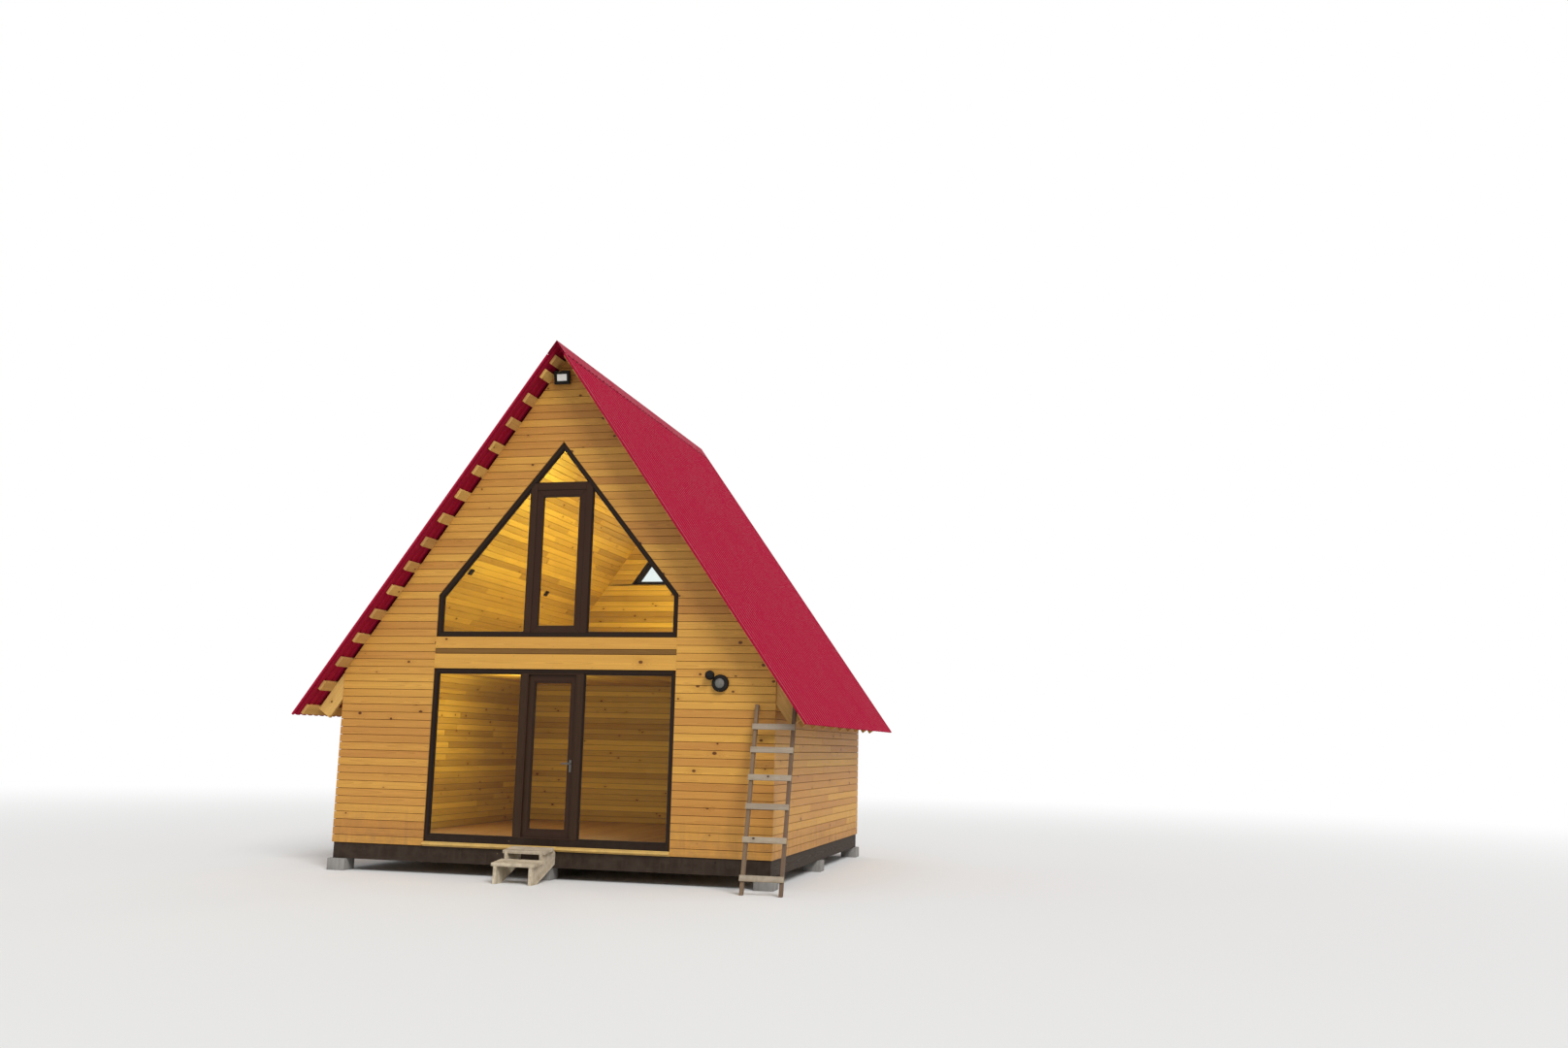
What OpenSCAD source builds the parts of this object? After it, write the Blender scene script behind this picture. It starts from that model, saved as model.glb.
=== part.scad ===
// Timber A-frame cabin with a steep profiled metal roof, low side walls, a wide glazed front
// and an attic with a five-sided window in front and a three-sided one at the back.
// Millimetres, +Z up, the glazed front faces -Y. The origin is on the ground under the middle
// of the floor.

/* [Cabin] */
// Width over the cladding of the side walls
cabin_w = 5900; // [5600:50:6400]
// Length over the cladding of the two gable walls
cabin_len = 5650; // [5200:50:6000]
// Height of the bottom edge of the cladding above the ground
base_h = 350; // [300:10:500]
// Thickness of the gable and side walls
wall_t = 180; // [140:10:200]

/* [Roof] */
// Pitch of the two slopes in degrees
roof_pitch = 54.8; // [54:0.1:56]
// Height of the crossing of the rafter tops above the cladding bottom
rafter_apex = 6387; // [6300:1:6450]
// How far the roof sheets run past each gable wall
gable_overhang = 400; // [300:10:450]
// How far the battens run past each gable wall
batten_overhang = 255; // [200:5:290]
// Distance of the eave edge from the middle of the cabin
eave_reach = 3430; // [3380:10:3500]
// Distance of the rafter tail from the middle of the cabin
tail_reach = 3300; // [3240:10:3340]
// Depth of a rafter, square to the slope
rafter_d = 200; // [180:5:220]
// Width of rafters and joists
rafter_w = 50; // [40:5:75]
// Number of rafter positions along the roof, the two gables included
rafter_count = 10; // [8:1:11]
// Width of a roof batten
batten_w = 135; // [100:5:150]
// Thickness of a roof batten
batten_t = 40; // [25:5:40]
// Distance from one batten to the next along the slope
batten_pitch = 385; // [360:5:420]
// Height of the ribs of the roof sheets
rib_h = 20; // [18:1:35]
// Distance from rib to rib
rib_pitch = 137.5; // [120:2.5:200]
// Width over the flat top of a rib
rib_top = 35; // [25:5:45]
// Width of the sloping side of a rib
rib_side = 17.5; // [12:0.5:25]
// Modelled thickness of sheets and flashings
sheet_t = 3; // [2:0.5:4]

/* [Glazed front] */
// Half the width of the glazed front and of the attic window
glazing_half = 1655; // [1600:5:1700]
// Bottom of the glazing above the cladding bottom
glazing_z = 58; // [50:1:80]
// Height of the glazed front
glazing_h = 2200; // [2100:10:2250]
// Width of the outer frame of the glazed front, at its sides and head
frame_w = 50; // [45:5:80]
// Height of its bottom member
bottom_w = 85; // [70:5:100]
// Depth of every window frame
frame_d = 70; // [60:5:80]
// How far the frames sit behind the cladding face
frame_setback = 20; // [10:5:40]
// Distance of a mullion's inner face from the middle
mullion_in = 340; // [330:5:420]
// Width of a mullion
mullion_w = 90; // [80:5:100]
// Thickness of a double pane
pane_t = 24; // [20:1:32]
// How deep the panes sit in the grooves of their frames
groove_d = 15; // [12:1:20]

/* [Door leaf] */
// Gap between the leaf and its frame
leaf_gap = 8; // [7:1:10]
// How far the frame's outer stop stands into the opening
stop_w = 15; // [12:1:20]
// Depth of the frame's outer stop
stop_d = 25; // [20:1:30]
// How far the leaf's inner lip laps over the frame
lip_w = 12; // [10:1:16]
// Thickness of the leaf's inner lip
lip_t = 20; // [15:1:25]
// Width of the stiles between stop and glass
stile_w = 70; // [60:5:80]
// Height of the bottom and top rails
rail_w = 90; // [80:5:110]
// Height of the lever handle above the cladding bottom
handle_z = 1080; // [1000:10:1150]

/* [Attic window] */
// Sill of the attic window above the cladding bottom
attic_sill = 2673; // [2600:1:2720]
// Height at which its sides turn inwards
attic_shoulder = 3217; // [3150:1:3280]
// Top corner of the attic window
attic_apex = 5238; // [5150:1:5300]
// Width of its outer frame
attic_frame_w = 55; // [50:5:70]
// Underside of the transom over the opening sash
transom_z = 4598; // [4540:1:4640]
// Width of the sash stiles and rails
sash_w = 78; // [60:2:90]

/* [Back window] */
// Sill of the three-sided back window above the cladding bottom
back_sill = 4016; // [3950:2:4080]
// Its top corner, where its two sides meet, each parallel to the roof
back_apex = 5430; // [5380:5:5460]

/* [Floors] */
// Height of the ground floor above the cladding bottom
floor_top = 50; // [40:5:55]
// Underside of the ground floor's ceiling above the cladding bottom
ceiling_z = 2310; // [2290:5:2330]
// Depth of the attic floor joists
joist_d = 200; // [180:10:200]
// Thickness of the attic deck
deck_t = 30; // [25:1:35]
// Thickness of the lining boards
lining_t = 18; // [15:1:22]

/* [Base] */
// Width of the base beams
beam_w = 150; // [120:10:180]
// Height of the base beams
beam_h = 200; // [150:10:200]
// Side of a square pier
pier_w = 250; // [200:10:300]

/* [Steps and ladder] */
// Width of the two treads
tread_w = 560; // [500:10:700]
// Depth of a tread
tread_run = 290; // [250:10:300]
// Thickness of a tread
tread_t = 40; // [30:5:50]
// How far the worn treads tip forwards, in degrees
tread_tip = 6; // [0:1:10]
// Offset of the steps from the middle of the cabin
steps_x = -80; // [-120:10:0]
// Distance between the middle lines of the ladder's stiles
ladder_w = 470; // [400:10:480]
// Length of the ladder
ladder_len = 2270; // [2200:10:2290]
// Lean of the ladder from the upright, in degrees
ladder_lean = 13.5; // [11:0.5:16]

/* [Hidden] */
$fn = 48;
half_w = cabin_w / 2;
half_len = cabin_len / 2;
front_y = -half_len;
in_x = half_w - wall_t;
in_y = half_len - wall_t;
slope_tan = tan(roof_pitch);
slope_cos = cos(roof_pitch);
roof_apex = base_h + rafter_apex;
roof_len = cabin_len + 2 * gable_overhang;
roof_half = roof_len / 2;
sheet_end = eave_reach / slope_cos - (batten_t + rib_h) * slope_tan;
sheet_start = -45;
cap_wing = 210;
trim_w = 60;
trim_drop = 4;
batten_end = sheet_end - 40;
batten_count = floor((batten_end - batten_w - 50) / batten_pitch) + 1;
ridge_board_w = 40;
// Gap over a sloping seat, so that what lies on it touches but never cuts in
seat_gap = 0.1;
blocking_t = 40;
beam_inset = 20;
beam_x = half_w - beam_inset - beam_w / 2;
beam_y = half_len - beam_inset - beam_w / 2;
floor_joist_d = 150;
z_beam = base_h - beam_h;
z_floor = base_h + floor_top;
z_ceiling = base_h + ceiling_z;
z_joist = z_ceiling + lining_t;
z_deck = z_joist + joist_d;
z_attic = z_deck + deck_t;
z_glazing = base_h + glazing_z;
z_head = z_glazing + glazing_h;
z_sill = base_h + attic_sill;
z_shoulder = base_h + attic_shoulder;
z_apex = base_h + attic_apex;
z_transom = base_h + transom_z;
z_back_sill = base_h + back_sill;
z_back_apex = base_h + back_apex;
back_half = (z_back_apex - z_back_sill) / slope_tan;
transom_h = mullion_w;
window_slope = (z_apex - z_shoulder) / glazing_half;
frame_y = front_y + frame_setback;
frame_in_y = frame_y + frame_d;
stop_gap = 5;
leaf_y = frame_y + stop_d + stop_gap;
lip_y = frame_in_y + stop_gap;
leaf_in_y = lip_y + lip_t;
opening_bottom = z_glazing + bottom_w;
opening_top = z_head - frame_w;
opening_h = opening_top - opening_bottom;
side_pane_w = glazing_half - frame_w - mullion_in - mullion_w;
side_pane_starts = [-glazing_half + frame_w, mullion_in + mullion_w];
leaf_half = mullion_in - leaf_gap;
glass_half = mullion_in - stop_w - stile_w;
leaf_glass_bottom = opening_bottom + stop_w + rail_w;
leaf_glass_top = opening_top - stop_w - rail_w;
pane_y = frame_y + (frame_d - pane_t) / 2;
sash_setback = 8;
leaf_pane_y = leaf_y + (leaf_in_y - leaf_y - pane_t) / 2;
hinge_r = 9;
hinge_x = -(mullion_in + lip_w + hinge_r + 2);
hinge_y = leaf_in_y - hinge_r;
hinge_heights = [opening_bottom + 200, (opening_bottom + opening_top) / 2, opening_top - 300];
hinge_half = 50;
gable_rafter_y = 40;
rafter_ys = [for (i = [0 : rafter_count - 1])
    -half_len + gable_rafter_y + i * (cabin_len - 2 * gable_rafter_y) / (rafter_count - 1)];
stringer_t = 40;
// Distance from the wall and height of the middle of each tread's top
tread_places = [[255, 392], [560, 262]];
ladder_stile_w = 40;
ladder_stile_d = 70;
rung_w = 70;
rung_t = 22;
ladder_x = 2965;
rung_heights = [190, 620, 1000, 1335, 1660, 1935];
flood_x = -35;
flood_z = base_h + 6085;
flood_tilt = 12;
flood_w = 210;
flood_h = 176;
flood_d = 44;
flood_reach = 75;
lens_w = 140;
lens_h = 92;
fin_count = 9;
fin_pitch = 20;
lamp_x = 2245;
lamp_z = base_h + 2107;
lamp_r = 107;
lamp_rim = 22;
sensor_x = lamp_x - 123;
sensor_z = lamp_z + 103;
sensor_r = 60;
box_side = 90;
box_t = 25;
box_ys = [-1940, 640];
box_z = base_h + 3646;

// Height of the line that lies w outside the rafter tops, at distance x from the middle
function slope_z(w, x) = roof_apex + w / slope_cos - x * slope_tan;
// Distance from the middle at which that line has height z
function slope_x(w, z) = (roof_apex + w / slope_cos - z) / slope_tan;

// A box from its low corner to its high corner
module block(lo, hi) {
    translate(lo) cube([hi[0] - lo[0], hi[1] - lo[1], hi[2] - lo[2]]);
}

// A profile drawn in x and z, extruded from y0 to y1
module upright(y0, y1) {
    translate([0, y1, 0]) rotate([90, 0, 0]) linear_extrude(height = y1 - y0) children();
}

// Puts a form drawn with x down the slope and z square to it onto the right slope
module on_slope() {
    translate([0, 0, roof_apex]) rotate([0, roof_pitch, 0]) children();
}

module mirror_x() { mirror([1, 0, 0]) children(); }

module mirror_y() { mirror([0, 1, 0]) children(); }

module foundation_piers() {
    color("dimgray")
    for (px = [-1, 0, 1], py = [-1, 0, 1])
        translate([px * beam_x - pier_w / 2, py * beam_y - pier_w / 2, 0])
            cube([pier_w, pier_w, z_beam]);
}

// The two side beams and the middle one
module long_beams() {
    beam_end = beam_y - beam_w / 2;
    color("saddlebrown")
    for (px = [-1, 0, 1])
        translate([px * beam_x, 0, 0])
            block([-beam_w / 2, -beam_end, z_beam], [beam_w / 2, beam_end, base_h]);
}

module end_beams() {
    color("saddlebrown")
    for (back = [0, 1])
        mirror([0, back, 0])
            block([-beam_x - beam_w / 2, -beam_y - beam_w / 2, z_beam],
                  [beam_x + beam_w / 2, -beam_y + beam_w / 2, base_h]);
}

module floor_joists() {
    color("peru")
    for (side = [0, 1], i = [1 : rafter_count - 2])
        mirror([side, 0, 0]) translate([0, rafter_ys[i], 0])
            block([beam_w / 2, -rafter_w / 2, base_h - floor_joist_d],
                  [beam_x - beam_w / 2, rafter_w / 2, base_h]);
}

module ground_floor() {
    color("burlywood")
    block([-in_x, -in_y, base_h], [in_x, in_y, z_floor]);
}

module side_walls() {
    top = -rafter_d - seat_gap;
    color("goldenrod")
    for (side = [0, 1])
        mirror([side, 0, 0]) upright(-in_y, in_y)
            polygon([[in_x, base_h], [half_w, base_h], [half_w, slope_z(top, half_w)],
                     [in_x, slope_z(top, in_x)]]);
}

// Wall beside the glazing, from the base up to the shoulder of the attic window
module gable_side_panel() {
    polygon([[glazing_half, base_h], [half_w, base_h], [half_w, slope_z(-seat_gap, half_w)],
             [slope_x(-seat_gap, z_shoulder), z_shoulder], [glazing_half, z_shoulder]]);
}

// Sloping strip of wall between the attic window and the roof
module gable_top_panel() {
    polygon([[glazing_half, z_shoulder], [slope_x(-seat_gap, z_shoulder), z_shoulder],
             [0, slope_z(-seat_gap, 0)], [0, z_apex]]);
}

module front_wall_right() {
    color("goldenrod") upright(front_y, -in_y) gable_side_panel();
}

module front_wall_left() { mirror_x() front_wall_right(); }

module front_gable_right() {
    color("goldenrod") upright(front_y, -in_y) gable_top_panel();
}

module front_gable_left() { mirror_x() front_gable_right(); }

module storey_band() {
    color("darkgoldenrod")
    block([-glazing_half, front_y, z_head], [glazing_half, -in_y, z_sill]);
}

module back_wall_right() { mirror_y() front_wall_right(); }

module back_wall_left() { mirror_y() front_wall_left(); }

// Half of the back gable, beside and under the back window
module back_gable_panel() {
    polygon([[0, z_sill], [glazing_half, z_sill], [glazing_half, z_shoulder],
             [slope_x(-seat_gap, z_shoulder), z_shoulder], [0, slope_z(-seat_gap, 0)],
             [0, z_back_apex], [back_half, z_back_sill], [0, z_back_sill]]);
}

module back_gable_right() {
    color("goldenrod") upright(in_y, half_len) back_gable_panel();
}

module back_gable_left() { mirror_x() back_gable_right(); }

module back_wall_middle() {
    color("goldenrod")
    block([-glazing_half, in_y, base_h], [glazing_half, half_len, z_sill]);
}

// The panes beside the door, or the grooves that they sit in
module side_panes() {
    for (x0 = side_pane_starts)
        block([x0 - groove_d, pane_y, opening_bottom - groove_d],
              [x0 + side_pane_w + groove_d, pane_y + pane_t, opening_top + groove_d]);
}

module glazing_frame() {
    color("#3a281c") difference() {
        union() {
            upright(frame_y, frame_in_y) difference() {
                translate([-glazing_half, z_glazing]) square([2 * glazing_half, glazing_h]);
                for (x0 = side_pane_starts)
                    translate([x0, opening_bottom]) square([side_pane_w, opening_h]);
                translate([-mullion_in, opening_bottom]) square([2 * mullion_in, opening_h]);
            }
            door_stop();
        }
        side_panes();
    }
}

// Outer stop that the door leaf closes against
module door_stop() {
    upright(frame_y, frame_y + stop_d) difference() {
        translate([-mullion_in, opening_bottom]) square([2 * mullion_in, opening_h]);
        translate([-mullion_in + stop_w, opening_bottom + stop_w])
            square([2 * (mullion_in - stop_w), opening_h - 2 * stop_w]);
    }
}

module side_glass() { color("lightblue", 0.4) side_panes(); }

// Threshold board with a sloped nose that throws water clear of the beam
module door_sill() {
    color("wheat")
    translate([-glazing_half, 0, 0]) rotate([90, 0, 90]) linear_extrude(height = 2 * glazing_half)
        polygon([[-in_y, base_h], [front_y, base_h], [front_y, z_glazing - 34],
                 [front_y - 35, z_glazing - 38], [front_y - 35, z_glazing - 16],
                 [front_y, z_glazing - 8], [frame_y, z_glazing], [-in_y, z_glazing]]);
}

module door_glass() {
    color("lightblue", 0.4)
    block([-glass_half - groove_d, leaf_pane_y, leaf_glass_bottom - groove_d],
          [glass_half + groove_d, leaf_pane_y + pane_t, leaf_glass_top + groove_d]);
}

module door_leaf() {
    color("#3a281c") difference() {
        union() {
            upright(leaf_y, lip_y)
                translate([-leaf_half, opening_bottom + leaf_gap])
                square([2 * leaf_half, opening_h - 2 * leaf_gap]);
            upright(lip_y, leaf_in_y)
                translate([-mullion_in - lip_w, opening_bottom - lip_w])
                square([2 * (mullion_in + lip_w), opening_h + 2 * lip_w]);
        }
        block([-glass_half, leaf_y - 1, leaf_glass_bottom],
              [glass_half, leaf_in_y + 1, leaf_glass_top]);
        door_glass();
    }
}

// Lever on a plate, drawn for the inner face and turned about for the outer one
module lever(depth) {
    cube([30, 8, 150]);
    translate([15, 0, 105]) rotate([-90, 0, 0]) cylinder(r = 9, h = depth);
    translate([-95, depth - 16, 95]) cube([119, 16, 20]);
}

module door_handle() {
    x0 = mullion_in - stop_w - stile_w / 2 - 15;
    z0 = base_h + handle_z - 105;
    color("silver") {
        translate([x0, leaf_in_y, z0]) lever(55);
        translate([x0, leaf_y, z0]) mirror_y() lever(45);
    }
}

// One half of a hinge: a barrel and the tab that carries it
module leaf_hinges() {
    color("gray")
    for (z = hinge_heights) {
        translate([hinge_x, hinge_y, z]) cylinder(r = hinge_r, h = hinge_half);
        block([hinge_x, leaf_in_y, z], [-mullion_in + 30, leaf_in_y + 4, z + hinge_half]);
        block([hinge_x - 2, hinge_y, z], [hinge_x + 2, leaf_in_y + 4, z + hinge_half]);
    }
}

module frame_hinges() {
    color("gray")
    for (z = hinge_heights) {
        translate([hinge_x, hinge_y, z - hinge_half - 1]) cylinder(r = hinge_r, h = hinge_half);
        block([hinge_x - 2, frame_in_y, z - hinge_half - 1], [hinge_x + 2, hinge_y, z - 1]);
        block([hinge_x - 40, frame_in_y, z - hinge_half - 1],
              [hinge_x + 2, frame_in_y + 4, z - 1]);
    }
}

// Five-sided outline of the attic window, pulled in by a frame width
module attic_outline(inset) {
    drop = inset / cos(atan(window_slope));
    x1 = glazing_half - inset;
    polygon([[-x1, z_sill + inset], [x1, z_sill + inset],
             [x1, z_apex - drop - x1 * window_slope], [0, z_apex - drop],
             [-x1, z_apex - drop - x1 * window_slope]]);
}

// Opening of the right side pane, or its groove where grow is the groove's depth
module attic_side_opening(grow) {
    intersection() {
        attic_outline(attic_frame_w - grow);
        translate([mullion_in + mullion_w - grow, 0]) square([glazing_half, z_apex]);
    }
}

// Opening of the top triangle, or its groove
module attic_top_opening(grow) {
    intersection() {
        attic_outline(attic_frame_w - grow);
        translate([-glazing_half, z_transom + transom_h - grow])
            square([2 * glazing_half, glazing_half]);
    }
}

module attic_fixed_openings(grow) {
    attic_side_opening(grow);
    mirror_x() attic_side_opening(grow);
    attic_top_opening(grow);
}

module sash_opening() {
    z0 = z_sill + attic_frame_w;
    translate([-mullion_in, z0]) square([2 * mullion_in, z_transom - z0]);
}

module attic_window_frame() {
    color("#3a281c") difference() {
        upright(frame_y, frame_in_y) difference() {
            attic_outline(0);
            attic_fixed_openings(0);
            sash_opening();
        }
        upright(pane_y, pane_y + pane_t) attic_fixed_openings(groove_d);
    }
}

// Opening between the sash's stiles and rails, or the groove round it
module sash_light(grow) {
    x1 = mullion_in - sash_w + grow;
    z0 = z_sill + attic_frame_w + sash_w - grow;
    translate([-x1, z0]) square([2 * x1, z_transom - sash_w + grow - z0]);
}

// Stiles and rails of the opening sash
module attic_sashes() {
    color("#3a281c") difference() {
        upright(frame_y + sash_setback, frame_in_y + sash_setback) difference() {
            sash_opening();
            sash_light(0);
        }
        upright(pane_y, pane_y + pane_t) sash_light(groove_d);
    }
}

// Outline of the back window, pulled in by a frame width
module back_outline(inset) {
    apex = z_back_apex - inset / slope_cos;
    x1 = (apex - z_back_sill - inset) / slope_tan;
    polygon([[-x1, z_back_sill + inset], [x1, z_back_sill + inset], [0, apex]]);
}

module back_window_frame() {
    color("#3a281c") mirror_y() difference() {
        upright(frame_y, frame_in_y) difference() {
            back_outline(0);
            back_outline(attic_frame_w);
        }
        upright(pane_y, pane_y + pane_t) back_outline(attic_frame_w - groove_d);
    }
}

module attic_glass() {
    color("lightblue", 0.4) {
        upright(pane_y, pane_y + pane_t) {
            attic_fixed_openings(groove_d);
            sash_light(groove_d);
        }
        mirror_y() upright(pane_y, pane_y + pane_t) back_outline(attic_frame_w - groove_d);
    }
}

module ground_ceiling() {
    x1 = slope_x(-rafter_d - lining_t, z_ceiling);
    color("navajowhite") block([-x1, -in_y, z_ceiling], [x1, in_y, z_joist]);
}

// Joists run beside the rafters and are cut to the slope at both ends
module attic_joists() {
    color("peru")
    for (i = [1 : rafter_count - 2])
        upright(rafter_ys[i] + rafter_w / 2 + seat_gap, rafter_ys[i] + 1.5 * rafter_w)
            polygon([[-slope_x(-5, z_joist), z_joist], [slope_x(-5, z_joist), z_joist],
                     [slope_x(-5, z_deck), z_deck], [-slope_x(-5, z_deck), z_deck]]);
}

module attic_floor() {
    x1 = slope_x(-rafter_d, z_attic);
    color("burlywood") block([-x1, -in_y, z_deck], [x1, in_y, z_attic]);
}

// Lining boards under the rafters, above the attic deck and again below the ceiling; the two
// slopes leave a shadow gap at the ridge
module attic_lining() {
    inner = -rafter_d - lining_t;
    color("navajowhite")
    for (side = [0, 1])
        mirror([side, 0, 0]) upright(-in_y, in_y) {
            polygon([[2, slope_z(inner, 2)], [slope_x(inner, z_attic), z_attic],
                     [slope_x(-rafter_d, z_attic), z_attic], [2, slope_z(-rafter_d, 2)]]);
            polygon([[slope_x(inner, z_ceiling), z_ceiling], [in_x, slope_z(inner, in_x)],
                     [in_x, slope_z(-rafter_d, in_x)],
                     [slope_x(-rafter_d, z_ceiling), z_ceiling]]);
        }
}

// Two small electrical boxes in a row on the left slope's lining
module lining_boxes() {
    inner = rafter_d + lining_t + seat_gap;
    down = (roof_apex - inner * slope_cos - box_z) / sin(roof_pitch);
    color("#151515")
    for (y = box_ys)
        mirror_x() on_slope()
            block([down - box_side / 2, y - box_side / 2, -inner - box_t],
                  [down + box_side / 2, y + box_side / 2, -inner]);
}

module ridge_board() {
    color("peru")
    block([-ridge_board_w / 2, -in_y, slope_z(-rafter_d, 0)],
          [ridge_board_w / 2, in_y, slope_z(0, ridge_board_w / 2)]);
}

// Rafter with a plumb cut at the ridge board and a square-cut tail
module rafter_profile() {
    tail_top = [tail_reach, slope_z(0, tail_reach)];
    tail_low = [tail_reach - rafter_d * sin(roof_pitch),
                slope_z(0, tail_reach) - rafter_d * slope_cos];
    polygon([[ridge_board_w / 2, slope_z(0, ridge_board_w / 2)], tail_top, tail_low,
             [ridge_board_w / 2, slope_z(-rafter_d, ridge_board_w / 2)]]);
}

// At the gables only the tails stand free, past the edge of the wall panel
module rafters() {
    color("peru")
    for (side = [0, 1], i = [0 : rafter_count - 1]) {
        x0 = i == 0 || i == rafter_count - 1 ? half_w : 0;
        mirror([side, 0, 0])
            upright(rafter_ys[i] - rafter_w / 2, rafter_ys[i] + rafter_w / 2)
            intersection() {
                rafter_profile();
                translate([x0, 0]) square([cabin_w, roof_apex]);
            }
    }
}

// Boards that close the gaps between the rafters over the side walls
module eave_blocking() {
    x0 = half_w - blocking_t;
    color("goldenrod")
    for (side = [0, 1], i = [0 : rafter_count - 2]) {
        y0 = max(rafter_ys[i] + rafter_w / 2, -in_y) + seat_gap;
        y1 = min(rafter_ys[i + 1] - rafter_w / 2, in_y) - seat_gap;
        mirror([side, 0, 0])
            upright(y0, y1)
            polygon([[x0, slope_z(-rafter_d, x0)], [half_w, slope_z(-rafter_d, half_w)],
                     [half_w, slope_z(-seat_gap, half_w)], [x0, slope_z(-seat_gap, x0)]]);
    }
}

module battens() {
    color("wheat")
    for (side = [0, 1], i = [0 : batten_count - 1])
        mirror([side, 0, 0]) on_slope()
            translate([batten_end - batten_w - i * batten_pitch, -half_len - batten_overhang, 0])
            cube([batten_w, cabin_len + 2 * batten_overhang, batten_t]);
}

// Outline of one face of the ribbed sheet, as a chain of points across the ribs
function rib_chain(n, y0, z0) = [for (i = [0 : n - 1]) each [
    [y0 + i * rib_pitch, z0],
    [y0 + i * rib_pitch + rib_side, z0 + rib_h - sheet_t],
    [y0 + i * rib_pitch + rib_side + rib_top, z0 + rib_h - sheet_t],
    [y0 + i * rib_pitch + 2 * rib_side + rib_top, z0]]];
function reversed(list) = [for (i = [len(list) - 1 : -1 : 0]) list[i]];

// Ribbed roof sheets: a trapezoid profile across the slope, run from the ridge to the eave; they
// run out past the ends of the battens at both gables
module roof_sheets_right() {
    rib_w = 2 * rib_side + rib_top;
    ribs = floor((roof_len - 2 * sheet_t - rib_w) / rib_pitch) + 1;
    margin = (roof_len - 2 * sheet_t - (ribs - 1) * rib_pitch - rib_w) / 2;
    y0 = -roof_half + sheet_t;
    top = concat([[y0, batten_t + sheet_t]], rib_chain(ribs, y0 + margin, batten_t + sheet_t),
                 [[-y0, batten_t + sheet_t]]);
    under = [for (p = top) [p[0], p[1] - sheet_t]];
    color("crimson")
    on_slope()
    translate([sheet_start, 0, 0]) rotate([90, 0, 90])
        linear_extrude(height = sheet_end - sheet_start) polygon(concat(top, reversed(under)));
}

module roof_sheets_left() { mirror_x() roof_sheets_right(); }

// Folded cap over the ridge, lying on the ribs
module ridge_cap() {
    w0 = batten_t + rib_h + seat_gap;
    x1 = cap_wing * slope_cos;
    color("crimson")
    upright(-roof_half, roof_half)
        polygon([[0, slope_z(w0 + sheet_t, 0)], [x1, slope_z(w0 + sheet_t, x1)],
                 [x1, slope_z(w0, x1)], [0, slope_z(w0, 0)], [-x1, slope_z(w0, x1)],
                 [-x1, slope_z(w0 + sheet_t, x1)]]);
}

// Narrow folded flashing over the edge of the sheets, which closes the ends of their ribs
module rake_trims() {
    w0 = batten_t + rib_h;
    start = cap_wing + 5 - w0 * slope_tan;
    color("crimson")
    for (side = [0, 1], back = [0, 1])
        mirror([side, 0, 0]) mirror([0, back, 0]) on_slope() {
            block([start, -roof_half, batten_t - trim_drop],
                  [sheet_end, -roof_half + sheet_t, w0 + sheet_t]);
            block([start, -roof_half + sheet_t, w0],
                  [sheet_end, -roof_half + trim_w, w0 + sheet_t]);
        }
}

// Places the flood lamp's own frame: x across, y into the wall, z up, tipped down
module at_flood() {
    translate([flood_x, front_y - flood_reach, flood_z]) rotate([flood_tilt, 0, 0]) children();
}

module flood_lamp() {
    color("#151515") {
        at_flood() {
            difference() {
                translate([-flood_w / 2, -flood_d / 2, -flood_h / 2])
                    cube([flood_w, flood_d, flood_h]);
                translate([-lens_w / 2, -flood_d / 2 - 1, -lens_h / 2]) cube([lens_w, 13, lens_h]);
            }
            for (i = [0 : fin_count - 1])
                translate([(i - (fin_count - 1) / 2) * fin_pitch - 2, flood_d / 2,
                           12 - flood_h / 2])
                    cube([4, 14, flood_h - 24]);
        }
        translate([flood_x, 0, 0]) {
            block([-25, front_y - 6, flood_z - 40], [25, front_y, flood_z + 40]);
            block([-12, front_y - 60, flood_z - 12], [12, front_y, flood_z + 12]);
        }
    }
}

// Round porch lamp and the motion sensor on its stalk beside it
module wall_lamp() {
    color("#1c1c1c") {
        translate([lamp_x, front_y, lamp_z]) rotate([90, 0, 0])
            rotate_extrude()
            polygon([[0, 0], [lamp_r - 6, 0], [lamp_r, 8], [lamp_r, 42], [lamp_r - 6, 48],
                     [lamp_r - lamp_rim, 48], [lamp_r - lamp_rim, 40], [0, 40]]);
        translate([sensor_x, front_y, sensor_z]) {
            rotate([90, 0, 0]) cylinder(r = 30, h = 14);
            rotate([90, 0, 0]) cylinder(r = 14, h = 60);
            translate([0, -80, -8]) sphere(r = sensor_r);
        }
    }
}

module lamp_lenses() {
    color("gainsboro") {
        at_flood() translate([-lens_w / 2, 8 - flood_d / 2, -lens_h / 2]) cube([lens_w, 4, lens_h]);
        translate([lamp_x, front_y - 40, lamp_z]) intersection() {
            rotate([90, 0, 0]) cylinder(r = lamp_r - lamp_rim, h = 40);
            translate([0, 85, 0]) sphere(r = 120);
        }
    }
}

// Worn treads, tipped forwards
module step_treads() {
    color("wheat")
    for (p = tread_places)
        translate([steps_x - tread_w / 2, front_y - p[0], p[1]]) rotate([tread_tip, 0, 0])
            translate([0, -tread_run / 2, -tread_t]) cube([tread_w, tread_run, tread_t]);
}

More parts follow.
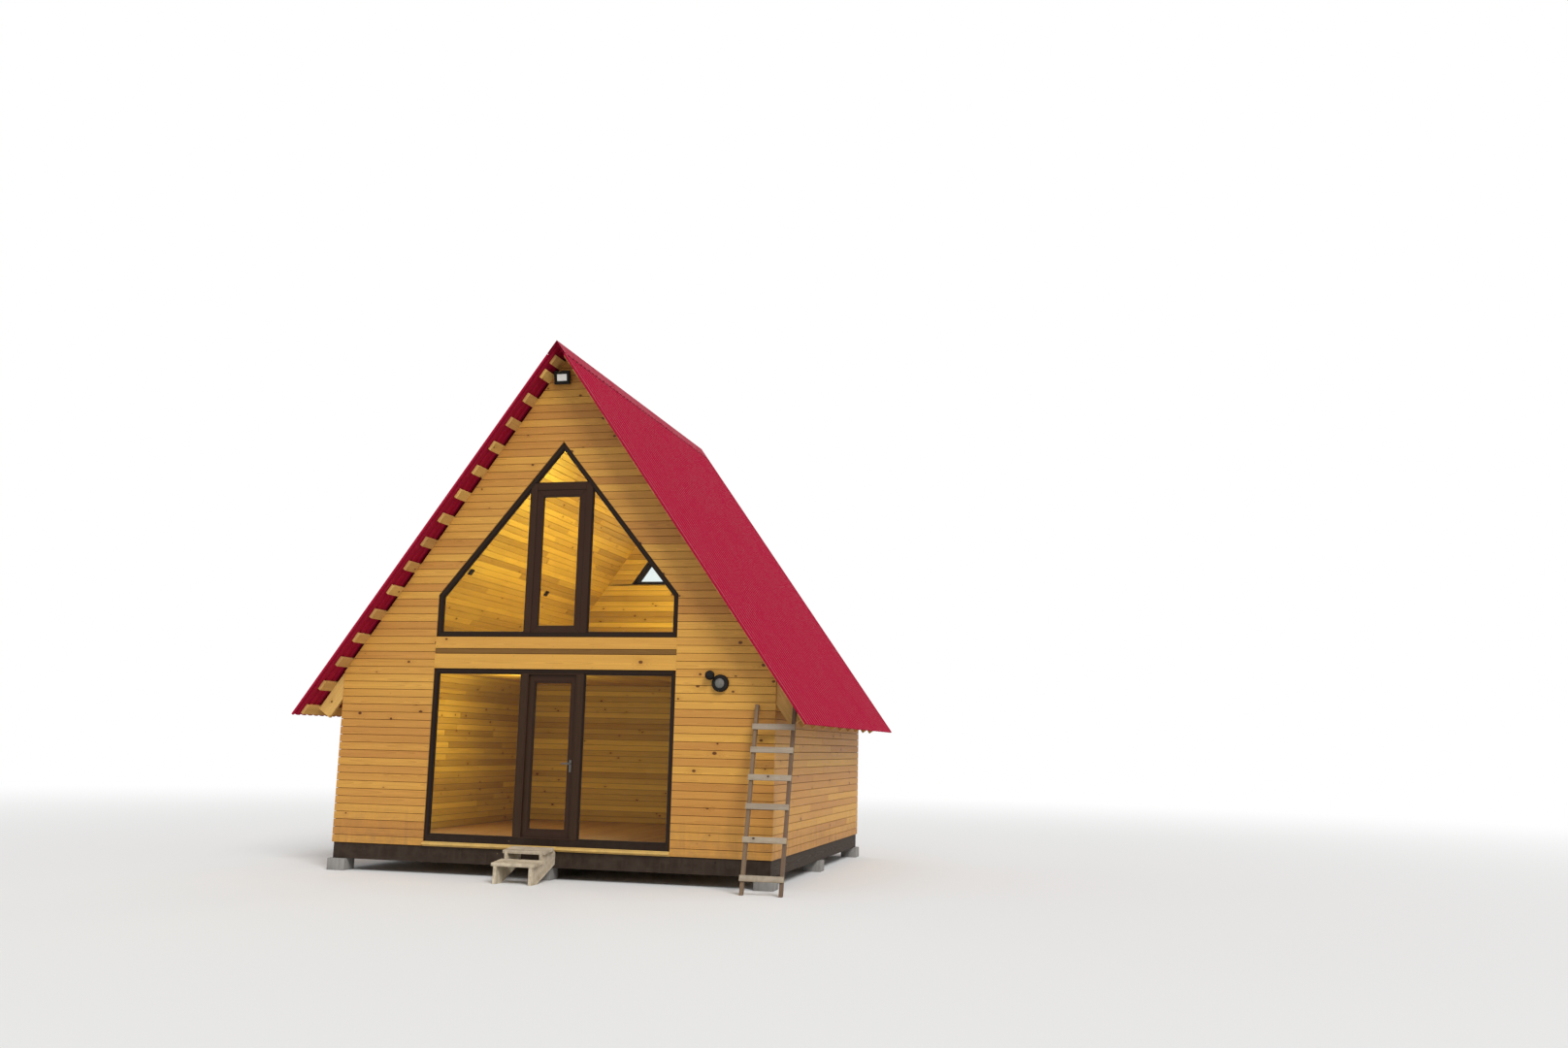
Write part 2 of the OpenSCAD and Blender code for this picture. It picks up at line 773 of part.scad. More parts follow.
// Side boards with a seat cut for each tread
module step_stringers() {
    color("tan")
    for (side = [-1, 1])
        translate([steps_x + side * (tread_w / 2 - 50) - stringer_t / 2, 0, 0])
            rotate([90, 0, 90]) linear_extrude(height = stringer_t) difference() {
                polygon([[front_y, 340], [front_y, 195], [front_y - 520, 0],
                         [front_y - 700, 0], [front_y - 700, 240], [front_y - 480, 375],
                         [front_y - 60, 375]]);
                for (p = tread_places)
                    translate([front_y - p[0], p[1]]) rotate(tread_tip)
                        translate([-tread_run / 2, -tread_t]) square([tread_run + 15, 400]);
            }
}

// Places the ladder's own frame: its feet on the ground, z up the stiles
module at_ladder() {
    foot_y = front_y - ladder_stile_d * cos(ladder_lean) - ladder_len * sin(ladder_lean);
    translate([ladder_x, foot_y, 0]) rotate([-ladder_lean, 0, 0]) children();
}

module ladder_stiles() {
    color("rosybrown")
    intersection() {
        at_ladder()
            for (side = [-1, 1])
                translate([(side * ladder_w - ladder_stile_w) / 2, 0, -60])
                cube([ladder_stile_w, ladder_stile_d, ladder_len + 60]);
        block([0, -cabin_len, 0], [cabin_w, cabin_len, roof_apex]);
    }
}

module ladder_rungs() {
    color("rosybrown")
    at_ladder()
        for (z = rung_heights)
            translate([-ladder_w / 2 - 30, -rung_t, z / cos(ladder_lean) - rung_w / 2])
            cube([ladder_w + 60, rung_t, rung_w]);
}

foundation_piers();
long_beams();
end_beams();
floor_joists();
ground_floor();
side_walls();
front_wall_left();
front_wall_right();
storey_band();
front_gable_left();
front_gable_right();
back_wall_left();
back_wall_right();
back_wall_middle();
back_gable_left();
back_gable_right();
glazing_frame();
side_glass();
door_sill();
door_leaf();
door_glass();
door_handle();
leaf_hinges();
frame_hinges();
attic_window_frame();
back_window_frame();
attic_sashes();
attic_glass();
ground_ceiling();
attic_joists();
attic_floor();
attic_lining();
ridge_board();
rafters();
eave_blocking();
battens();
roof_sheets_left();
roof_sheets_right();
ridge_cap();
rake_trims();
flood_lamp();
wall_lamp();
lamp_lenses();
step_treads();
step_stringers();
ladder_stiles();
ladder_rungs();
lining_boxes();
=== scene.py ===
"""Looks of a timber A-frame cabin: its boards, joinery, roof metal and fittings, and a studio."""

import math
import random

import bmesh
import bpy
from bpy.props import FloatProperty, FloatVectorProperty, IntProperty, PointerProperty
from mathutils import Matrix, Vector


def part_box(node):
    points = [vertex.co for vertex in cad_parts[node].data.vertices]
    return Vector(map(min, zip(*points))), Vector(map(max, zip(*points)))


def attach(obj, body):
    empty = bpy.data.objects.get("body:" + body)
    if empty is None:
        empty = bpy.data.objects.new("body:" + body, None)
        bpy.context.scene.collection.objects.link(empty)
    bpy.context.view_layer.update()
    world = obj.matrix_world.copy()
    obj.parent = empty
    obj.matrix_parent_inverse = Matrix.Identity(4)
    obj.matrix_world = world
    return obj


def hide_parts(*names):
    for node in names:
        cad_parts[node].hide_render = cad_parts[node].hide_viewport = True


bl_info = {
    "name": "A-Frame Cabin",
    "version": (1, 0, 0),
    "blender": (4, 5, 0),
    "location": "3D View > Sidebar > Cabin",
    "description": "Boards, joinery, roof metal and fittings of a timber A-frame cabin",
    "category": "Object",
}

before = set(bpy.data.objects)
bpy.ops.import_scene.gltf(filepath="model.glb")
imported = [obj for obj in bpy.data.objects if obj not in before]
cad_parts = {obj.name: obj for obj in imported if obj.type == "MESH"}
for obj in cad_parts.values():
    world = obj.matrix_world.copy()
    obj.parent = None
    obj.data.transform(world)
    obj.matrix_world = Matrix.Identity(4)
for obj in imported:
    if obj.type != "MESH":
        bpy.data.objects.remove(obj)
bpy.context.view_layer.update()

CABIN = "cabin"
DOOR = "door"
SIDES = (-1, 1)

# Corners nearer than WELD are one, faces that meet at less than FLAT are one face, and edges
# sharper than SHARP are rounded, or stay sharp where a shape is shaded smoothly.
WELD = 1e-5
FLAT = math.radians(1.0)
SHARP = math.radians(25.0)

# A board is cut from a long log: its place along the log, and off the log's heart both ways.
ALONG_LOG = (0, 60)
BESIDE_HEART = (-0.05, 0.05)
BELOW_HEART = (0.03, 0.11)

# Grain that runs up a face, where it otherwise runs along it.
UPRIGHT = (0.0, 1.0)

# Finishes of the glazed pieces, in the order of their materials: a frame or sash itself, its
# seals, and what stands between the panes of a frame.
FRAME, SEAL, SASH = 0, 1, 2

# Plain light, and the camera's sensor in millimetres.
WHITE = (1.0, 1.0, 1.0)
SENSOR_W = 36.0

# Refraction of a pane, low enough that its gloss doesn't hide the room behind it.
FAINT_GLOSS = 1.18


class Lines:
    """The cabin's main lines, in metres, read from its solids."""

    def __init__(self):
        wall_lo, wall_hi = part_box("front_wall_right")
        gable_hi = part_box("front_gable_right")[1]
        band_lo, band_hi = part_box("storey_band")
        ridge_lo, ridge_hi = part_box("ridge_board")
        floor_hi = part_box("ground_floor")[1]
        window_lo, window_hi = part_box("attic_window_frame")
        self.glazing_x = wall_lo.x
        self.half_w = wall_hi.x
        self.front_y = wall_lo.y
        self.in_y = -wall_hi.y
        self.in_x = floor_hi.x
        self.base_z = wall_lo.z
        self.shoulder_z = wall_hi.z
        self.wall_top = gable_hi.z
        self.tan = (gable_hi.z - wall_hi.z) / gable_hi.x
        self.pitch = math.atan(self.tan)
        self.window_apex = window_hi.z
        back_lo, self.back_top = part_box("back_window_frame")
        self.back_sill = back_lo.z
        self.back_half = self.back_top.x
        self.head_z = band_lo.z
        self.sill_z = band_hi.z
        self.floor_z = floor_hi.z
        self.ceiling_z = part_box("ground_ceiling")[0].z
        self.attic_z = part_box("attic_floor")[1].z
        self.rafter_low = ridge_lo.z
        self.roof_apex = ridge_hi.z + ridge_hi.x * self.tan
        self.frame_y = window_lo.y
        self.frame_in_y = window_hi.y

    def across(self, top, x):
        """Height at distance x from the middle of the roof line whose crossing is at a top."""
        return top - abs(x) * self.tan

    def front_opening(self):
        """Right side of the opening in the front wall, from the bottom up, in x and z."""
        return [(self.glazing_x, self.base_z), (self.glazing_x, self.shoulder_z),
                (0.0, self.window_apex)]

    def back_opening(self):
        """Right side of the opening in the back wall."""
        return [(self.back_half, self.back_sill), (0.0, self.back_top.z)]


lines = Lines()


class Face:
    """A flat face: a point on it and the directions along and across its boards."""

    def __init__(self, origin, along, across):
        self.origin = Vector(origin)
        self.along = Vector(along)
        self.across = Vector(across)
        self.outward = self.along.cross(self.across)

    def point(self, u, v, depth=0.0):
        """The point at u along the boards and v across them, at a depth behind the face."""
        return self.origin + self.along * u + self.across * v - self.outward * depth


def front_face(y):
    """The face at y that looks out of the glazed front."""
    return Face((0, y, 0), (1, 0, 0), (0, 0, 1))


def back_face(y):
    """The face at y that looks out of the back."""
    return Face((0, y, 0), (-1, 0, 0), (0, 0, 1))


def side_face(x, looks):
    """An upright face at x that looks towards +X or -X."""
    return Face((x, 0, 0), (0, looks, 0), (0, 0, 1))


def flat_face(z, looks):
    """A level face at z that looks up or down."""
    return Face((0, 0, z), (0, 1, 0), (-looks, 0, 0))


def slope_face(side, top):
    """The under face of one roof slope, with its boards along the ridge."""
    cos, sin = math.cos(lines.pitch), math.sin(lines.pitch)
    return Face((0, 0, top), (0, -side, 0), (-side * cos, 0, sin))


def chain(profile, low, high):
    """The part of a rising side line between two heights."""
    def reach(height):
        """The line's distance from the middle at a height."""
        for (x0, z0), (x1, z1) in zip(profile, profile[1:]):
            if z0 <= height <= z1:
                return x0 + (x1 - x0) * (height - z0) / (z1 - z0)
        return profile[0][0] if height < profile[0][1] else profile[-1][0]

    inner = [point for point in profile if low < point[1] < high]
    return [(reach(low), low)] + inner + [(reach(high), high)]


def level(u0, u1):
    """A cover for a plain wall: each row runs from u0 to u1."""
    return lambda low, high: [rectangle(u0, low, u1, high)]


def gable_cover(opening, short=0.0):
    """A cover for a gable wall: each row is cut to the roof line and round an opening."""
    half_w = lines.half_w - short
    outer = [(half_w, lines.base_z), (half_w, lines.across(lines.wall_top, half_w)),
             (0.0, lines.wall_top)]
    bottom, top = opening[0][1], opening[-1][1]

    def cover(low, high):
        """The parts of the wall between two heights."""
        right = chain(outer, low, high)
        if high <= bottom or low >= top:
            return [right + mirrored(right)]
        if bottom <= low and high <= top:
            part = right + chain(opening, low, high)[::-1]
            return [part, mirrored(part)]
        if low < bottom:
            notch = chain(opening, bottom, high)[::-1]
            return [right + notch + mirrored(notch) + mirrored(right)]
        part = right + [(0.0, high)] + chain(opening, low, top)[::-1]
        return [part, mirrored(part)]

    return cover


def clip(outline, axis, low, high):
    """The part of an outline between two lines square to an axis."""
    for sign, limit in ((1.0, low), (-1.0, -high)):
        kept = []
        for i, here in enumerate(outline):
            before = outline[i - 1]
            inside_here = sign * here[axis] - limit
            inside_before = sign * before[axis] - limit
            if inside_here * inside_before < 0:
                share = inside_before / (inside_before - inside_here)
                kept.append(tuple(b + (h - b) * share for b, h in zip(before, here)))
            if inside_here >= 0:
                kept.append(here)
        outline = kept
    return outline if len(outline) > 2 else []


def area(outline):
    """Area of an outline, positive when it runs counter-clockwise."""
    return 0.5 * sum(outline[i - 1][0] * p[1] - p[0] * outline[i - 1][1]
                     for i, p in enumerate(outline))


def perimeter(outline):
    """Length round an outline."""
    return sum(math.dist(outline[i - 1], p) for i, p in enumerate(outline))


def inset(outline, widths):
    """An outline pulled in, by one width or by one for each of its edges."""
    nearly_straight = 0.9999
    if isinstance(widths, float):
        widths = [widths] * len(outline)
    normals = []
    for here, after in zip(outline, outline[1:] + outline[:1]):
        length = math.dist(here, after)
        normals.append(((here[1] - after[1]) / length, (after[0] - here[0]) / length))
    corners = []
    for i, here in enumerate(outline):
        (ax, ay), (bx, by) = normals[i - 1], normals[i]
        wide_a, wide_b = widths[i - 1], widths[i]
        turn = ax * bx + ay * by
        if turn > nearly_straight:
            share_a, share_b = wide_a, 0.0
        else:
            share_a = (wide_a - turn * wide_b) / (1 - turn * turn)
            share_b = (wide_b - turn * wide_a) / (1 - turn * turn)
        corners.append((here[0] + share_a * ax + share_b * bx,
                        here[1] + share_a * ay + share_b * by))
    return corners


def mirrored(outline):
    """The outline on the other side of the middle."""
    return [(-u, v) for u, v in reversed(outline)]


def rectangle(u0, v0, u1, v1):
    """Outline of a rectangle between two corners."""
    return [(u0, v0), (u1, v0), (u1, v1), (u0, v1)]


def make_piece(name, mesh, finishes, body=CABIN, nodes=()):
    """Links a mesh as a piece that rides on a body and stands for some solids."""
    piece = bpy.data.objects.new(name, mesh)
    bpy.context.scene.collection.objects.link(piece)
    for finish in finishes:
        mesh.materials.append(finish)
    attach(piece, body)
    if nodes:
        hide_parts(*nodes)
    return piece


def grain_shift(draw):
    """Where a board lies in its log."""
    return draw.uniform(*ALONG_LOG), draw.uniform(*BESIDE_HEART), draw.uniform(*BELOW_HEART)


class Boards:
    """Boards joined into one mesh, each with its own tone and its own stretch of grain."""

    # Slivers under this area are left out, and a chamfer is at most this share of what fits.
    smallest = 4e-5
    widest_chamfer = 0.6
    # The first board of a row is cut to a share of the longest, and ends meet at a hairline.
    first_share = (0.35, 1.0)
    hairline = 0.0015

    def __init__(self, seed):
        self.random = random.Random(seed)
        self.points = []
        self.faces = []
        self.finishes = []
        self.grain = []
        self.tones = []

    def add(self, face, outline, thickness, edge=0.0, depth=0.0, finish=0, run=(1.0, 0.0)):
        """Adds a board by its outline on a face, its grain along run, its edges eased."""
        if not outline or area(outline) < self.smallest:
            return
        edge = min(edge, self.widest_chamfer * area(outline) / perimeter(outline))
        rings = [(outline, depth + thickness)]
        if edge > 0:
            rings += [(outline, depth + edge), (inset(outline, edge), depth)]
        else:
            rings += [(outline, depth)]
        middle = sum(v * run[0] - u * run[1] for u, v in outline) / len(outline)
        shift = grain_shift(self.random)
        tone = self.random.random()
        count = len(outline)
        first = len(self.points)
        for ring, behind in rings:
            for u, v in ring:
                self.points.append(face.point(u, v, behind))
                self.grain.append((u * run[0] + v * run[1] + shift[0],
                                   v * run[0] - u * run[1] - middle + shift[1],
                                   behind + shift[2]))
                self.tones.append(tone)
        new_faces = [tuple(first + i for i in reversed(range(count)))]
        last = first + (len(rings) - 1) * count
        new_faces.append(tuple(last + i for i in range(count)))
        for start in range(first, last, count):
            for i in range(count):
                j = (i + 1) % count
                new_faces.append((start + i, start + j, start + count + j, start + count + i))
        self.faces += new_faces
        self.finishes += [finish] * len(new_faces)

    def rows(self, face, cover, span, pitch, joint, thickness, edge, start=0.0, finish=0,
             lengths=None):
        """Lays rows of boards over a span of heights, counted from a start line."""
        bottom, top = span
        rounding = 1e-4
        row = math.floor((bottom - start) / pitch + rounding)
        while start + row * pitch < top - joint:
            low = max(bottom, start + row * pitch + joint / 2)
            high = min(top, start + (row + 1) * pitch - joint / 2)
            row += 1
            for strip in cover(low, high):
                for part in self.cut(strip, lengths):
                    self.add(face, part, thickness, edge, 0.0, finish)

    def cut(self, strip, lengths):
        """Cuts a row into boards of random length, with a hairline between their ends."""
        if lengths is None:
            return [strip]
        low = min(point[0] for point in strip)
        high = max(point[0] for point in strip)
        parts = []
        at = low
        length = self.random.uniform(*self.first_share) * lengths[1]
        while high - at > length + lengths[0] / 2:
            parts.append(clip(strip, 0, at, at + length - self.hairline))
            at += length
            length = self.random.uniform(*lengths)
        parts.append(clip(strip, 0, at, high))
        return parts

    def ring(self, face, outline, widths, thickness, edge=0.0, depth=0.0, finish=0):
        """Mitred members round the inside of an outline."""
        inner = inset(outline, widths)
        for i, here in enumerate(outline):
            j = (i + 1) % len(outline)
            after = outline[j]
            length = math.dist(here, after)
            run = ((after[0] - here[0]) / length, (after[1] - here[1]) / length)
            self.add(face, [here, after, inner[j], inner[i]], thickness, edge, depth, finish, run)

    def piece(self, name, finishes, slot, body=CABIN, nodes=()):
        """Makes the boards laid so far into one piece."""
        mesh = bpy.data.meshes.new(name)
        mesh.from_pydata(self.points, [], self.faces)
        mesh.polygons.foreach_set("material_index", self.finishes)
        grain = mesh.attributes.new("grain", "FLOAT_VECTOR", "POINT")
        grain.data.foreach_set("vector", [n for place in self.grain for n in place])
        tone = mesh.attributes.new("tone", "FLOAT", "POINT")
        tone.data.foreach_set("value", self.tones)
        mesh.update()
        return make_piece(name, mesh, finishes, body, nodes)


def to_mesh(shape, name):
    """Turns a bmesh into a mesh, and frees it."""
    mesh = bpy.data.meshes.new(name)
    shape.to_mesh(mesh)
    shape.free()
    return mesh


def shade_smooth(mesh):
    """Shades a mesh smoothly between its sharp edges."""
    mesh.polygons.foreach_set("use_smooth", [True] * len(mesh.polygons))
    mesh.set_sharp_from_angle(angle=SHARP)


def node_shape(node):
    """The mesh of a node's solids as a bmesh, with its corners joined."""
    shape = bmesh.new()
    shape.from_mesh(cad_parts[node].data)
    bmesh.ops.remove_doubles(shape, verts=shape.verts, dist=WELD)
    return shape


def islands(mesh):
    """The separate solids of a bmesh, as lists of vertices."""
    left = set(mesh.verts)
    found = []
    for start in mesh.verts:
        if start not in left:
            continue
        left.remove(start)
        queue = [start]
        solid = []
        while queue:
            vert = queue.pop()
            solid.append(vert)
            for edge in vert.link_edges:
                other = edge.other_vert(vert)
                if other in left:
                    left.remove(other)
                    queue.append(other)
        found.append(solid)
    return sorted(found, key=lambda solid: min(tuple(round(c, 4) for c in v.co) for v in solid))


def solid_axes(solid):
    """The direction of a solid's longest edge, and that of the longest one square to it."""
    square = 0.05
    edges = {edge for vert in solid for edge in vert.link_edges}
    ways = sorted(((edge.calc_length(), tuple(edge.verts[1].co - edge.verts[0].co))
                   for edge in edges), reverse=True)
    along = Vector(ways[0][1]).normalized()
    for _, way in ways:
        across = Vector(way).normalized()
        if abs(across.dot(along)) < square:
            across = (across - along * across.dot(along)).normalized()
            return along, across, along.cross(across)
    across = along.orthogonal().normalized()
    return along, across, along.cross(across)


def shape_from_nodes(nodes, edge, segments=2):
    """The solids of some nodes in one bmesh, with clean faces and rounded edges."""
    whole = bmesh.new()
    for node in nodes:
        shape = node_shape(node)
        bmesh.ops.dissolve_limit(shape, angle_limit=FLAT, verts=shape.verts, edges=shape.edges)
        sharp = [e for e in shape.edges if len(e.link_faces) == 2 and e.calc_face_angle() > SHARP]
        bmesh.ops.bevel(shape, geom=sharp, offset=edge, offset_type="OFFSET", segments=segments,
                        profile=0.5, affect="EDGES", clamp_overlap=True)
        part = to_mesh(shape, node + "_shape")
        whole.from_mesh(part)
        bpy.data.meshes.remove(part)
    return whole


def timber(name, nodes, finish, edge, seed, body=CABIN):
    """Stands sawn timber for some solids: rounded edges, and grain along each of them."""
    shape = shape_from_nodes(nodes, edge)
    grain = shape.verts.layers.float_vector.new("grain")
    tone = shape.verts.layers.float.new("tone")
    draw = random.Random(seed)
    for solid in islands(shape):
        along, across, depth = solid_axes(solid)
        middle = sum((vert.co for vert in solid), Vector()) / len(solid)
        shift = Vector(grain_shift(draw))
        own_tone = draw.random()
        for vert in solid:
            place = vert.co - middle
            vert[grain] = Vector((place.dot(along), place.dot(across), place.dot(depth))) + shift
            vert[tone] = own_tone
    return make_piece(name, to_mesh(shape, name), [finish], body, nodes)


def casting(name, nodes, finish, edge, body=CABIN):
    """Stands a rounded, smoothly shaded shape for some solids."""
    mesh = to_mesh(shape_from_nodes(nodes, edge, segments=3), name)
    shade_smooth(mesh)
    return make_piece(name, mesh, [finish], body, nodes)


def add_disc(mesh, place, radius, low, high, sides, taper=0.92):
    """A flat disc between two heights, in the frame of a matrix whose Z leaves the surface."""
    matrix = place @ Matrix.Translation((0, 0, (low + high) / 2))
    bmesh.ops.create_cone(mesh, cap_ends=True, segments=sides, radius1=radius,
                          radius2=radius * taper, depth=high - low, matrix=matrix)


def add_roof_screw(mesh, place, washer_r):
    """A washer with a six-sided head on it."""
    washer_t = 0.002
    head_r = 0.005
    head_t = 0.0045
    add_disc(mesh, place, washer_r, 0.0, washer_t, sides=12)
    add_disc(mesh, place, head_r, washer_t, washer_t + head_t, sides=6)


def studs(name, places, radius, finish):
    """Low round heads at some places, joined into one piece."""
    sunk, proud, sides = 0.001, 0.0012, 10
    mesh = bmesh.new()
    for place in places:
        add_disc(mesh, place, radius, -sunk, proud, sides, taper=0.7)
    return make_piece(name, to_mesh(mesh, name), [finish])


def screw_heads(name, places, settings):
    """Heads of wood screws at some places."""
    return studs(name, places, settings.screw_r, zinc_finish(settings))


def board_places(node, outward, spots):
    """Matrices on the outer face of each board of a node, at spots along and across it."""
    shape = node_shape(node)
    places = []
    for solid in islands(shape):
        along, across, depth = solid_axes(solid)
        if depth.dot(Vector(outward)) < 0:
            across = -across
            depth = -depth
        axes = Matrix((along, across, depth)).transposed()
        local = [axes.transposed() @ vert.co for vert in solid]
        low = Vector([min(place[i] for place in local) for i in range(3)])
        high = Vector([max(place[i] for place in local) for i in range(3)])
        for u, v in spots:
            spot = axes @ Vector(((low.x + high.x) / 2 + u, (low.y + high.y) / 2 + v, high.z))
            places.append(Matrix.Translation(spot) @ axes.to_4x4())
    shape.free()
    return places


def face_matrix(face, u, v):
    """A matrix at a spot of a face, whose Z leaves it."""
    axes = Matrix((face.along, face.across, face.outward)).transposed()
    return Matrix.Translation(face.point(u, v)) @ axes.to_4x4()


def dress(node, finish):
    """Gives a solid that is shown as it is its finish."""
    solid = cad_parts[node]
    solid.data.materials.clear()
    solid.data.materials.append(finish)


class Tree:
    """Adds and joins shader nodes in a few words."""

    def __init__(self, tree):
        self.tree = tree

    def add(self, kind, **settings):
        """Adds a node of a kind."""
        node = self.tree.nodes.new(kind)
        for key, value in settings.items():
            setattr(node, key, value)
        return node

    def put(self, value, socket):
        """Joins a socket to another, or sets its own value."""
        if isinstance(value, bpy.types.NodeSocket):
            self.tree.links.new(value, socket)
        else:
            socket.default_value = value

    def math(self, operation, *values, clamp=False):
        """The outcome of one step of arithmetic."""
        node = self.add("ShaderNodeMath", operation=operation, use_clamp=clamp)
        for value, socket in zip(values, node.inputs):
            self.put(value, socket)
        return node.outputs[0]

    def blend(self, share, a, b):
        """Colour a where the share is 0, and b where it is 1."""
        node = self.add("ShaderNodeMix", data_type="RGBA")
        self.put(share, node.inputs[0])
        self.put(a, node.inputs[6])
        self.put(b, node.inputs[7])
        return node.outputs[2]

    def spread(self, value, low, high, to_low=0.0, to_high=1.0, smooth=True):
        """Maps a span of values to another one."""
        kind = "SMOOTHSTEP" if smooth else "LINEAR"
        node = self.add("ShaderNodeMapRange", interpolation_type=kind)
        for socket, number in zip(node.inputs, (value, low, high, to_low, to_high)):
            self.put(number, socket)
        return node.outputs[0]

    def stretch(self, vector, factors):
        """A vector with each of its parts times a factor."""
        node = self.add("ShaderNodeVectorMath", operation="MULTIPLY")
        self.put(vector, node.inputs[0])
        self.put(factors, node.inputs[1])
        return node.outputs[0]

    def parts(self, vector):
        """The three parts of a vector."""
        node = self.add("ShaderNodeSeparateXYZ")
        self.put(vector, node.inputs[0])
        return node.outputs

    def noise(self, vector, scale=1.0, detail=2.0, roughness=0.5):
        """Soft random values round 0.5."""
        node = self.add("ShaderNodeTexNoise")
        self.put(vector, node.inputs["Vector"])
        self.put(scale, node.inputs["Scale"])
        self.put(detail, node.inputs["Detail"])
        self.put(roughness, node.inputs["Roughness"])
        return node.outputs[0]

    def place(self):
        """The point's place in the object's own space."""
        return self.add("ShaderNodeTexCoord").outputs["Object"]

    def group(self, group, **values):
        """Places a node group, each of its inputs named with _ for a space."""
        node = self.add("ShaderNodeGroup", node_tree=group)
        for key, value in values.items():
            self.put(value, node.inputs[key.replace("_", " ")])
        return node.outputs

    def bump(self, height, distance):
        """A normal that follows a height, whose full range is a distance in metres."""
        node = self.add("ShaderNodeBump")
        self.put(height, node.inputs["Height"])
        node.inputs["Distance"].default_value = distance
        node.inputs["Strength"].default_value = 1.0
        return node.outputs[0]

    def surface(self, share, shader, other, output):
        """Ends a material or a world in a blend of two shaders."""
        mix = self.add("ShaderNodeMixShader")
        self.put(share, mix.inputs[0])
        self.put(shader.outputs[0], mix.inputs[1])
        self.put(other.outputs[0], mix.inputs[2])
        self.put(mix.outputs[0], self.tree.nodes[output].inputs["Surface"])


SOCKETS = {"color": "NodeSocketColor", "float": "NodeSocketFloat"}


def start_group(name, inputs, outputs):
    """A new node group with its named sockets: a builder, its inputs and its outputs."""
    tree = bpy.data.node_groups.new(name, "ShaderNodeTree")
    for label, kind, default in inputs:
        socket = tree.interface.new_socket(name=label, in_out="INPUT", socket_type=SOCKETS[kind])
        socket.default_value = default
    for label, kind in outputs:
        tree.interface.new_socket(name=label, in_out="OUTPUT", socket_type=SOCKETS[kind])
    build = Tree(tree)
    source = build.add("NodeGroupInput").outputs
    target = build.add("NodeGroupOutput").inputs
    return build, source, target


